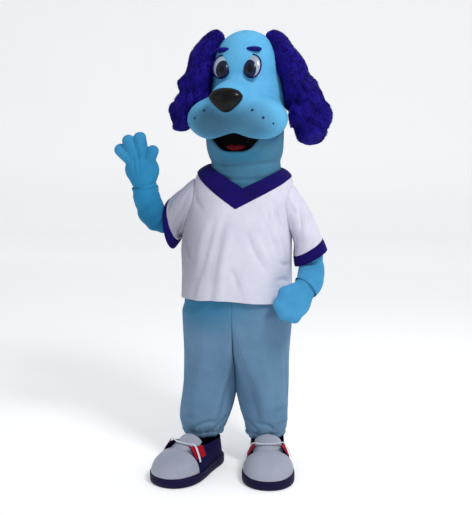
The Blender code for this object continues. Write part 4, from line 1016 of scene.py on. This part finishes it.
def ear_point(table, at, angle, side, out):
    """The flap's oval section across its falling middle line, with waves that run round it."""
    step = 0.01
    ahead, behind = np.minimum(at + step, 1), np.maximum(at - step, 0)
    along_x = column(table, "x", ahead) - column(table, "x", behind)
    along_z = column(table, "z", ahead) - column(table, "z", behind)
    length = np.hypot(along_x, along_z)
    wave = 0.010 * np.sin(26 * at + 2.0 * angle) + 0.007 * np.sin(3 * angle - 17 * at + side)
    wave = wave * np.clip((at - 0.05) * 1.6, 0, 1) + out
    rounded = np.sqrt(1 - np.clip((at - 0.90) / 0.104, 0, 1) ** 2)
    rounded = rounded * np.sqrt(1 - np.clip(1 - at / 0.03, 0, 0.9) ** 2)
    width = (column(table, "half_width", at) + wave) * rounded
    depth = (column(table, "half_depth", at) + wave) * rounded
    return stack(
        column(table, "x", at) - along_z / length * width * np.cos(angle),
        column(table, "y", at) + depth * np.sin(angle),
        column(table, "z", at) + along_x / length * width * np.cos(angle),
    )


def clump_push(at, angle, side):
    """Waved clumps of pile: rounded ridges that wander down the flap, broken into overlapping
    tiers in the lower half, with finer strands over them."""
    wander = 1.5 * np.sin(9.5 * at + 1.7 * np.sin(angle + side)) + 0.8 * np.sin(21 * at - 2 * angle + side)
    ridge = np.abs(np.cos(3.5 * angle + wander)) ** 0.8 - 0.6
    strand = np.abs(np.cos(11 * angle + 2.2 * wander + 8 * at)) ** 0.8 - 0.5
    tier = 6.5 * at + 0.45 * np.sin(3 * angle + side) + 0.25 * np.sin(7 * angle - 1.0)
    tuck = np.mod(tier, 1.0)
    overlap = (tuck**1.3 - 0.45) * (1 - smooth(tuck, 0.90, 1.0))
    deep = smooth(at, 0.02, 0.30)
    low = smooth(at, 0.30, 0.72)
    return deep * (0.0085 * ridge + 0.0024 * strand) * (0.75 + 0.45 * low) + 0.0090 * low * overlap


def pile_tufts(table, side, number, seed):
    """Short curved tufts over the flap, as cones with four sides: roots on the flap, tips that
    hang down and stand a little off it; returns points by tuft."""
    rng = np.random.default_rng(seed)
    at = rng.uniform(0.01, 0.985, number)
    angle = rng.uniform(0, 2 * math.pi, number)
    push = clump_push(at, angle, side)
    root = ear_point(table, at, angle, side, push - EAR_INSET)
    below = ear_point(table, np.minimum(at + 0.02, 0.999), angle, side, push - EAR_INSET)
    proud = ear_point(table, at, angle, side, push)
    down = below - root
    down = down / (np.linalg.norm(down, axis=1)[:, None] + 1e-9)
    out = proud - root
    out = out / (np.linalg.norm(out, axis=1)[:, None] + 1e-9)
    across = np.cross(down, out) + rng.normal(0, 0.30, (number, 3))
    length = rng.uniform(0.007, 0.013, number)[:, None]
    wide = rng.uniform(0.0011, 0.0019, number)[:, None]
    root = root + 0.0012 * out
    tip = root + length * (down + 0.22 * across) + 0.0028 * out
    base = [root + wide * across, root + 0.6 * wide * out, root - wide * across]
    return np.stack([*base, tip], axis=1)


ear_at = np.linspace(0, 1, 170)[:, None]
ear_angle = ring(156)[None, :]
for side, table, phase, seed in (("left", EAR_LEFT, 0.0, 5), ("right", EAR_RIGHT, 2.0, 11)):
    ear_push = clump_push(ear_at, ear_angle, phase) - EAR_INSET
    flap = closed_piece(f"ear_{side}_flap", ear_point(table, ear_at, ear_angle, phase, ear_push), blue_fur)
    dress(flap, "blue_fur", f"ear_{side}")
    tufts = pile_tufts(table, phase, TUFTS, seed)
    tufts[..., 2] += FLOOR
    first = 4 * np.arange(TUFTS)[:, None]
    faces = np.concatenate([first + np.array(corner) for corner in ((0, 1, 3), (1, 2, 3), (2, 0, 3))])
    pile = new_piece(f"ear_{side}_pile", tufts.reshape(-1, 3).tolist(), faces.tolist(), blue_fur)
    dress(pile, "blue_fur")

# Arms: sky blue plush sleeves of the suit, one long tube each, which leave the shirt's cuffs and
# are sewn to the mitts. They fold at the inside of the elbow and ring at the wrist.
ARM_LEFT = [
    (-0.240, 0.005, 1.195),
    (-0.3732, -0.0112, 1.086),
    (-0.4105, -0.096, 1.262),
    (-0.4125, -0.101, 1.296),
]
ARM_RIGHT = [
    (0.284, 0.0, 1.168),
    (0.3195, -0.0123, 1.060),
    (0.343, -0.0280, 0.914),
    (0.340, -0.116, 0.874),
    (0.320, -0.135, 0.854),
]
# Folds: share of the arm's length, direction round it in degrees, width along it, and push.
ARM_FOLDS = {
    "left": [
        (0.34, 0, 0.016, -0.0060),
        (0.45, 15, 0.013, -0.0085),
        (0.54, 350, 0.014, -0.0060),
        (0.64, 340, 0.016, 0.0035),
        (0.76, 30, 0.013, -0.0045),
        (0.92, 180, 0.010, -0.0040),
        (0.96, 0, 0.009, -0.0045),
    ],
    "right": [
        (0.42, 180, 0.014, -0.0040),
        (0.56, 200, 0.013, -0.0075),
        (0.64, 190, 0.012, -0.0085),
        (0.72, 170, 0.013, -0.0060),
        (0.60, 20, 0.012, -0.0035),
        (0.86, 200, 0.011, -0.0050),
        (0.94, 90, 0.009, -0.0040),
    ],
}


def unit(vectors):
    """Vectors divided by their lengths."""
    return vectors / np.linalg.norm(vectors, axis=-1, keepdims=True)


def bent_path(points, bends, rows):
    """Middle points along straight stretches whose corners are rounded to the given radii."""
    path = [np.array(points[0], float)]
    for corner, before, after, bend in zip(points[1:-1], points[:-2], points[2:], bends):
        corner = np.array(corner, float)
        into, away = unit(corner - before), unit(np.array(after, float) - corner)
        half = math.acos(np.clip(into @ away, -1, 1)) / 2
        centre = corner + unit(away - into) * bend / math.cos(half)
        side = unit(np.cross(np.cross(into, away), into))
        turns = half * (1 + np.linspace(-1, 1, rows))[:, None]
        path.extend(centre - bend * side * np.cos(turns) + bend * into * np.sin(turns))
    path.append(np.array(points[-1], float))
    return np.array(path)


def limb_grid(points, bends, radii, folds, count, columns):
    """Rings evenly spaced along a bent path, each turned as little as it can be from the last;
    folds press in on one side, and the radius goes evenly through the given ones."""
    path = bent_path(points, bends, 30)
    walked = np.append(0, np.cumsum(np.linalg.norm(np.diff(path, axis=0), axis=1)))
    even = np.linspace(0, walked[-1], count)
    path = np.stack([np.interp(even, walked, path[:, axis]) for axis in range(3)], axis=-1)
    ahead = unit(np.gradient(path, axis=0))
    radius = np.interp(even / even[-1], np.linspace(0, 1, len(radii)), radii)
    side = np.cross(ahead[0], [0.0, 1.0, 0.0])
    sides = []
    for way in ahead:
        side = unit(side - (side @ way) * way)
        sides.append(side)
    sides = np.array(sides)[:, None]
    ups = np.cross(ahead, sides[:, 0])[:, None]
    even = even[:, None]
    angle = ring(columns)[None, :]
    push = 0.0007 * np.sin(5 * angle + 40 * even) + 0.0006 * np.sin(3 * angle - 63 * even)
    for share, turn, wide, depth in folds:
        from_turn = angle - math.radians(turn)
        facing = (0.5 + 0.5 * np.cos(from_turn)) ** 1.4
        push = push + depth * facing * bell(even - share * even[-1], 0.012 * np.sin(from_turn), wide)
    push = push - 0.0016 * bell(np.mod(angle - math.radians(95), 2 * math.pi), 0, 0.035)
    reach = (radius[:, None] + push)[..., None]
    return path[:, None] + reach * (np.cos(angle)[..., None] * sides + np.sin(angle)[..., None] * ups)


arm_plush = pile_look("arm plush", (0.068, 0.320, 0.580), (0.048, 0.260, 0.500), 9.0, 0.0018, 0.0016)
# Painted shade: the raised left arm and its mitt, away from the key light, are darker, and darker still at
# the fold of the elbow.
tint(arm_plush, (-0.42, -0.06, 1.24), (0.30, 0.34, 0.50), (0.014, 0.205, 0.400), 0.85)
tint(arm_plush, (-0.38, -0.02, 1.13), (0.14, 0.22, 0.20), (0.008, 0.115, 0.250), 0.75)
for side, points, bends, radii in (
    ("left", ARM_LEFT, [0.072, 0.080], [0.058, 0.062, 0.0645, 0.062, 0.060]),
    ("right", ARM_RIGHT, [0.200, 0.080, 0.066], [0.044, 0.051, 0.0613, 0.061, 0.060]),
):
    arm_grid = limb_grid(points, bends, radii, ARM_FOLDS[side], 96, 80)
    arm = cloth_piece(f"arm_{side}_plush", arm_grid, True, arm_plush, PLUSH_WALL)
    dress(arm, "sky_plush", f"arm_{side}")

# Mitts: gloves of the same plush with three fat fingers and a thumb, cut in two halves, sewn
# round the edge and lightly stuffed; each is open at the wrist, where the arm is sewn in.
PALM = {
    "at": [-0.020, 0.0, 0.030, 0.065, 0.100, 0.130, 0.148],
    "half_width": [0.0545, 0.0545, 0.062, 0.076, 0.076, 0.057, 0.024],
    "half_depth": [0.0545, 0.0540, 0.052, 0.048, 0.044, 0.036, 0.016],
}
SPREAD_DIGITS = [
    {"root": (-0.040, 0.0, 0.110), "tip": (-0.094, -0.006, 0.178), "radius": 0.0285},
    {"root": (-0.022, 0.0, 0.120), "tip": (-0.052, -0.010, 0.216), "radius": 0.0290},
    {"root": (0.006, 0.0, 0.120), "tip": (0.002, -0.006, 0.226), "radius": 0.0290},
    {"root": (0.020, -0.004, 0.080), "tip": (0.056, -0.014, 0.166), "radius": 0.0270},
]
FOLDED_DIGITS = [
    {"root": (-0.036, 0.0, 0.080), "tip": (-0.052, 0.002, 0.140), "radius": 0.0300},
    {"root": (-0.006, 0.0, 0.085), "tip": (-0.010, 0.002, 0.162), "radius": 0.0310},
    {"root": (0.026, 0.0, 0.080), "tip": (0.034, 0.000, 0.150), "radius": 0.0300},
    {"root": (0.034, -0.004, 0.060), "tip": (0.060, -0.012, 0.100), "radius": 0.0250},
]
# For each mitt: its arm and fingers, where its palm starts, how much fatter its fingers are, the
# rounds of smoothing and the depth of the lines sewn between its fingers.
MITTS = [
    ("left", ARM_LEFT, SPREAD_DIGITS, -0.016, 0.0, 14, 0.0038),
    ("right", ARM_RIGHT, FOLDED_DIGITS, -0.050, 0.0040, 200, 0.0012),
]
WRIST_EDGE = -0.009
PALM_END = 0.1495
VOXEL = 0.0030


def frame_along(direction):
    """Rows X, Y and Z of a frame whose Z runs along the direction and whose Y stays near Y."""
    z = unit(direction)
    x = unit(np.cross([0.0, 1.0, 0.0], z))
    return np.array([x, np.cross(z, x), z])


def digit_rings(row, fatter):
    """A finger: rings along its line, full at the middle and closing round its tip."""
    start, end = np.array(row["root"]), np.array(row["tip"])
    axes, length, radius = frame_along(end - start), np.linalg.norm(end - start), row["radius"] + fatter
    turn = np.linspace(0, math.pi / 2, 9)[:-1]
    along = np.concatenate([np.linspace(0, length, 8)[:-1], length + 0.9 * radius * np.sin(turn)])
    size = np.concatenate([0.93 + 0.07 * np.sin(np.linspace(0, math.pi / 2, 7)), np.cos(turn)]) * radius
    angle = ring(28)[:, None]
    round_it = np.cos(angle) * axes[0] + np.sin(angle) * axes[1]
    return start + along[:, None, None] * axes[2] + size[:, None, None] * round_it


for side, points, digits, palm_start, fatter, rounds, sewn_depth in MITTS:
    palm_at = np.linspace(palm_start, PALM_END, 30)[:, None]
    palm_angle = ring(48)[None, :]
    palm_x = column(PALM, "half_width", palm_at) * np.cos(palm_angle) - 0.006 * np.clip(palm_at / 0.08, 0, 1)
    palm = stack(palm_x, column(PALM, "half_depth", palm_at) * np.sin(palm_angle), palm_at)
    vertices, faces = [], []
    for index, rings in enumerate([palm, *[digit_rings(row, fatter) for row in digits]]):
        body = closed_piece(f"mitt_{side}_{index}", rings - np.array([0, 0, FLOOR]), arm_plush)
        first = len(vertices)
        vertices += [tuple(vertex.co) for vertex in body.data.vertices]
        faces += [[corner + first for corner in polygon.vertices] for polygon in body.data.polygons]
        bpy.data.objects.remove(body)
    form = new_piece(f"mitt_{side}_form", vertices, faces, arm_plush)
    merge = form.modifiers.new("merge", "REMESH")
    merge.mode = "VOXEL"
    merge.voxel_size = VOXEL
    even = form.modifiers.new("even", "SMOOTH")
    even.factor = 0.5
    even.iterations = rounds
    bpy.context.view_layer.update()
    made = form.evaluated_get(bpy.context.evaluated_depsgraph_get()).to_mesh()
    own = np.array([tuple(vertex.co) for vertex in made.vertices])
    quads = np.array([tuple(polygon.vertices) for polygon in made.polygons])
    normal = np.array([tuple(vertex.normal) for vertex in made.vertices])
    form.to_mesh_clear()
    bpy.data.objects.remove(form)
    # Quilting: a line sewn between the fingers down the palm, the outline seam and soft dents.
    x, y, z = own.T
    push = 0.0007 * np.sin(70 * x + 45 * z) + 0.0006 * np.sin(88 * y - 64 * z)
    push = push - 0.0014 * bell(y, -0.004, 0.0022)
    for before, after in zip(digits[:-2], digits[1:-1]):
        line_x = (before["root"][0] + after["root"][0]) / 2
        sewn = bell(x, line_x, 0.0045) * smooth(z, 0.055, 0.105) * (1 - smooth(z, 0.15, 0.17))
        push = push - sewn_depth * sewn
    push = push - 0.0035 * bell(z - 0.008 * x / 0.05, 0.010, 0.008)
    own = own + normal * push[:, None]
    quads = quads[own[quads][:, :, 2].mean(axis=1) > WRIST_EDGE]
    used, quads = np.unique(quads, return_inverse=True)
    wrist, before = np.array(points[-1]), np.array(points[-2])
    place = wrist + own[used] @ frame_along(wrist - before) + np.array([0, 0, FLOOR])
    mitt = new_piece(f"mitt_{side}_plush", place.tolist(), quads.reshape(-1, 4).tolist(), arm_plush)
    add_wall(mitt, PLUSH_WALL)
    dress(mitt, "sky_plush", f"mitt_{side}")

# Shoes: oversize trainers. A foamed navy sole with a foxing groove carries a moulded toe cap of
# white coated cloth, navy canvas quarters round the heel, a padded white tongue and red tabs.
SHOE_LENGTH = 0.43
SOLE_HEIGHT = 0.044
SOLE_OUTLINE = {
    "at": [-0.215, -0.204, -0.165, -0.095, 0.0, 0.090, 0.155, 0.200, 0.215],
    "half_width": [0.004, 0.050, 0.096, 0.117, 0.107, 0.090, 0.082, 0.054, 0.004],
}
CAP = {
    "at": [-0.2148, -0.213, -0.206, -0.190, -0.160, -0.120, -0.080, -0.050],
    "half_width": [0.001, 0.018, 0.042, 0.068, 0.092, 0.108, 0.113, 0.112],
    "height": [0.0004, 0.010, 0.024, 0.044, 0.064, 0.080, 0.088, 0.090],
}
# The sole's outline as a sum of sines, so that it has no corners and closes round at both ends.
SOLE_TURN = np.arccos(-np.array(SOLE_OUTLINE["at"]) / (SHOE_LENGTH / 2))[:, None]
SOLE_WAVES = np.arange(1, 7)
SOLE_SERIES = np.linalg.lstsq(np.sin(SOLE_TURN * SOLE_WAVES), SOLE_OUTLINE["half_width"], rcond=None)[0]
CAP_WALL = 0.0032
CANVAS_WALL = 0.0028
TONGUE_WALL = 0.004
TAB_WALL = 0.0014
CAP_TIP = -0.2147
CAP_LENGTH = 0.1397
CAP_BACK = -0.075
SHOES = [
    {"side": "left", "place": (-0.200, -0.213, 0.0), "yaw": math.radians(-26)},
    {"side": "right", "place": (0.159, -0.176, 0.0), "yaw": math.radians(6)},
]


def sole_outline(angle, out=0.0):
    """Round the sole from the toe: its length by a cosine, its half width by the sum of sines."""
    y = -SHOE_LENGTH / 2 * np.cos(angle)
    half = np.abs(np.sin(angle[..., None] * SOLE_WAVES) @ SOLE_SERIES)
    return np.sign(np.sin(angle)) * half * (1 + out / 0.1), y * (1 + out / (SHOE_LENGTH / 2))


def cap_point(y, angle, out=0.0):
    """The toe cap's arch at each distance from the toe, flattened a little on top."""
    width = column(CAP, "half_width", y) + out
    height = column(CAP, "height", y) + out
    x = width * np.sign(np.cos(angle)) * np.abs(np.cos(angle)) ** 0.8
    return stack(x, y + 0 * angle, SOLE_HEIGHT + 0.0003 + height * np.abs(np.sin(angle)) ** 0.9)


def quarter_point(place, share, out=0.0):
    """The wall round the heel from one side of the instep to the other, leaning in as it rises."""
    x, y = sole_outline(math.pi * (0.39 + 1.22 * place))
    front = np.abs(2 * place - 1)
    top = SOLE_HEIGHT + 0.0902 + 0.020 * np.clip((front - 0.75) / 0.25, 0, 1)
    lean = 0.06 + 0.44 * np.clip((front - 0.45) / 0.55, 0, 1) ** 1.5
    x = x * (1 - lean * share**1.6) * (0.95 + out / 0.1)
    y = y * np.where(y > 0, 0.955 - 0.06 * share, 1.0) + np.where(y > 0, out, 0.0)
    return stack(x, y, SOLE_HEIGHT + 0.0003 + share * (top - SOLE_HEIGHT) + 0.3 * out * share)


def on_shoe(points, shoe):
    """From a shoe's own frame to the costume's."""
    c, s = math.cos(shoe["yaw"]), math.sin(shoe["yaw"])
    x, y, z = points[..., 0], points[..., 1], points[..., 2]
    return stack(x * c - y * s, x * s + y * c, z) + np.array(shoe["place"])


white_vinyl = knit_look(
    "white coated cloth", (0.37, 0.39, 0.47), (0.32, 0.34, 0.42), 0.0012, 0.0002, 0.55, 0.0
)
navy_canvas = knit_look(
    "navy canvas", (0.0030, 0.0010, 0.050), (0.0020, 0.0006, 0.034), 0.0014, 0.0005, 0.8, 0.0
)
red_canvas = knit_look("red canvas", (0.42, 0.002, 0.012), (0.30, 0.001, 0.008), 0.0014, 0.0005, 0.7, 0.0)
navy_rubber, shader = grained_look(
    "navy rubber", (0.0030, 0.0012, 0.038), (0.0020, 0.0008, 0.024), 14.0, 0.62, (160.0, 6.0), (0.25, 0.0005)
)
# The sole's profile: height, and how far it stands out there.
SOLE_PROFILE = [
    (0.0, -0.008), (0.0008, -0.0045), (0.003, -0.0015), (0.007, 0.0), (0.016, 0.0006), (0.0265, 0.0004),
    (0.0285, -0.0002), (0.0295, -0.0016), (0.0305, -0.0002), (0.0330, 0.0004), (0.0400, 0.0),
    (0.0425, -0.0012), (0.0438, -0.0034), (0.0440, -0.0070),
]
sole_angle = ring(160) + 0.01
cap_y = (CAP_TIP + CAP_LENGTH * np.linspace(0, 1, 58) ** 1.6)[:, None]
cap_angle = np.linspace(0, math.pi, 84)[None, :]
cap_edge = (cap_y - CAP_BACK) * 1000
cap_push = 0.0010 * bell(cap_edge, -3.5, 2.6) - 0.0012 * bell(cap_edge, -8.5, 1.2) - 0.0008
cap_push = cap_push + 0.0006 * np.sin(40 * cap_y + 3 * cap_angle) * np.sin(cap_angle)
quarter_place = np.linspace(0, 1, 150)[None, :]
quarter_share = np.linspace(0.0, 1.0, 34)[:, None]
near_edge = np.minimum(np.minimum(quarter_place, 1 - quarter_place) * 5.0, (1 - quarter_share) * 0.9)
quarter_out = 0.0009 * bell(near_edge, 0.03, 0.035) - 0.0007 * bell(near_edge, 0.10, 0.02) - 0.0010
for dent_share, dent_place in ((0.55, 0.24), (0.50, 0.77)):
    dent = bell(quarter_share, dent_share, 0.12) * bell(quarter_place, dent_place, 0.03)
    quarter_out = quarter_out - 0.0022 * dent
quarter_out = quarter_out + 0.0008 * bell(quarter_place, 0.5, 0.05)
tongue_share = np.linspace(0.2385, 1.5, 44)[:, None]
tongue_turn = np.radians(np.linspace(28, 152, 52))[None, :]
tongue_side = np.minimum(tongue_turn - tongue_turn[:, :1], tongue_turn[:, -1:] - tongue_turn)
tongue_edge = np.minimum((1.5 - tongue_share) * 5.0, tongue_side * 4.0)
tongue_x = (0.078 - 0.012 * np.clip(tongue_share - 0.6, 0, 1)) * np.cos(tongue_turn)
tongue_z = SOLE_HEIGHT + 0.080 + 0.034 * tongue_share - 0.052 * (1 - np.sin(tongue_turn))
tongue_z = tongue_z - 0.0010 * bell(tongue_edge, 0.45, 0.16) - 0.0014 * bell(tongue_edge, 0, 0.12)
tongue_grid = stack(tongue_x, -0.092 + 0.075 * tongue_share, tongue_z)
for shoe in SHOES:
    side = shoe["side"]
    rings = np.array([stack(*sole_outline(sole_angle, out), height) for height, out in SOLE_PROFILE])
    sole = closed_piece(f"sole_{side}_rubber", on_shoe(rings, shoe), navy_rubber)
    dress(sole, "navy_rubber", f"sole_{side}")
    cap_grid = on_shoe(cap_point(cap_y, cap_angle, cap_push), shoe)
    cap = cloth_piece(f"toe_cap_{side}_form", cap_grid, False, white_vinyl, CAP_WALL)
    dress(cap, "white_vinyl", f"toe_cap_{side}")
    quarter_grid = on_shoe(quarter_point(quarter_place, quarter_share, quarter_out), shoe)
    quarters = cloth_piece(f"quarters_{side}_canvas", quarter_grid, False, navy_canvas, CANVAS_WALL)
    dress(quarters, "navy_canvas", f"quarters_{side}")
    flap = cloth_piece(f"shoe_tongue_{side}_pad", on_shoe(tongue_grid, shoe), False, white_vinyl, TONGUE_WALL)
    dress(flap, "white_vinyl", f"shoe_tongue_{side}")
    for where, start in (("inner", 0.0), ("outer", 0.9)):
        if side == "right":
            start = 0.9 - start
        tab_place = np.linspace(start + 0.002, start + 0.098, 22)[None, :]
        tab_share = np.linspace(0.51, 0.99, 30)[:, None]
        tab = quarter_point(tab_place, tab_share)
        outward = stack(np.sign(tab[..., 0]), 0.0, 0.8) / 1.28
        hole = np.hypot((tab_place - start - 0.05) / 0.011, (tab_share - 0.80) / 0.055)
        lift = 0.0021 + 0.0008 * bell(hole, 1.3, 0.35) - 0.0012 * bell(hole, 0, 0.8)
        name = f"eyelet_tab_{where}_{side}"
        tab_grid = on_shoe(tab + lift[..., None] * outward, shoe)
        tab_piece = cloth_piece(f"{name}_cloth", tab_grid, False, red_canvas, TAB_WALL)
        dress(tab_piece, "red_felt", name)

# Laces: a flat woven white lace in each shoe, over the tongue and through one pair of eyelets.
# Its two short ends come out over the tabs and hang down the sides of the shoe, untied.
LACE_WIDE = 0.0115
LACE_THICK = 0.0020
LACE_HALF = {
    "at": [0.0, 0.030, 0.060, 0.0715, 0.0875, 0.1005, 0.1065],
    "z": [0.1490, 0.1500, 0.1555, 0.1535, 0.129, 0.103, 0.086],
}


def ribbon(line, across, up, wide, thick):
    """A flat band: rings of a flattened oval along a line, turned to lie on what it crosses."""
    turn = ring(16)
    c, s = np.cos(turn), np.sin(turn)
    flat_x = np.sign(c) * np.abs(c) ** 0.6 * wide / 2
    flat_z = np.sign(s) * np.abs(s) ** 0.8 * thick / 2
    return line[:, None] + flat_x[None, :, None] * across[:, None] + flat_z[None, :, None] * up[:, None]


white_lace = knit_look("white flat lace", (0.70, 0.71, 0.80), (0.60, 0.61, 0.72), 0.0010, 0.0004, 0.8, 0.1)
for shoe in SHOES:
    side = shoe["side"]
    sign = -1 if side == "left" else 1
    parts = {
        f"lace_{side}_band": np.linspace(-0.058, 0.058, 40),
        f"lace_{side}_end_inner": np.linspace(0.060, 0.1065, 30),
        f"lace_{side}_end_outer": np.linspace(-0.060, -0.1065, 30),
    }
    for name, lace_x in parts.items():
        lace_z = column(LACE_HALF, "z", np.abs(lace_x)) + 0.0011
        lace_y = -0.044 + 0.012 * (np.abs(lace_x) / 0.1) ** 2 * np.sign(lace_x) * sign
        line = stack(lace_x, lace_y, lace_z)
        ahead = unit(np.gradient(line, axis=0))
        across = unit(np.array([0.0, 1.0, 0.0]) - ahead[:, 1:2] * ahead)
        rings = ribbon(line, across, np.cross(ahead, across), LACE_WIDE, LACE_THICK)
        lace = closed_piece(name, on_shoe(rings, shoe), white_lace)
        if name.endswith("band"):
            dress(lace, "white_lace", f"lace_{side}")
            continue
        dress(lace, "white_lace")
        path = (on_shoe(line, shoe) + np.array([0, 0, FLOOR])).tolist()

# Floor and light: a plain pale floor that runs up behind, one large soft key above and to the
# right of the view, a weaker fill from the left and an even pale room.
FLOOR_DROP = 0.0002
paper, _, shader, _ = finish_look("pale paper", (0.94, 0.94, 0.945), (0.93, 0.93, 0.94), 1.2, 0.9)
# Painted light: the floor glows faintly though it is no lamp, which keeps it white and lights the costume a
# little from below.
shader.inputs["Emission Color"].default_value = (1.0, 1.0, 1.0, 1.0)
shader.inputs["Emission Strength"].default_value = 0.24
# The floor's rise behind the costume: height and distance back.
SWEEP = np.array([[0.0, -9.0], [0.0, 6.5], [0.03, 7.0], [0.2, 7.5], [0.6, 7.9], [1.4, 8.15], [7.0, 8.3]])
floor_grid = stack(np.linspace(-12, 12, 12)[None, :], SWEEP[:, 1:2], SWEEP[:, 0:1] + FLOOR - FLOOR_DROP)
floor_faces = grid_faces(*floor_grid.shape[:2], False)
pale_floor = new_piece("pale_floor", floor_grid.reshape(-1, 3).tolist(), floor_faces.tolist(), paper)
LIGHTS = [
    {"name": "key", "from": (2.1, -2.2, 2.9), "to": (0.0, 0.0, 0.1), "size": 1.0, "power": 104.0},
    {"name": "fill", "from": (-2.8, -2.6, 0.9), "to": (0.0, 0.0, -0.1), "size": 2.2, "power": 7.0},
    {"name": "rim", "from": (1.8, 2.2, 2.2), "to": (0.0, 0.0, 0.2), "size": 1.2, "power": 14.0},
]
for row in LIGHTS:
    lamp = bpy.data.lights.new(row["name"], "AREA")
    lamp.energy = row["power"]
    lamp.size = row["size"]
    holder = new_object(row["name"], lamp)
    aim = unit(np.array(row["from"]) - np.array(row["to"]))
    holder.location = row["from"]
    holder.rotation_euler = (math.acos(aim[2]), 0.0, math.atan2(aim[1], aim[0]) + math.pi / 2)
room = bpy.data.worlds.new("pale room")
room.use_nodes = True
room.node_tree.nodes["Background"].inputs["Color"].default_value = (0.95, 0.97, 1.0, 1.0)
room.node_tree.nodes["Background"].inputs["Strength"].default_value = 0.54
bpy.context.scene.world = room
bpy.context.scene.view_settings.view_transform = "Standard"
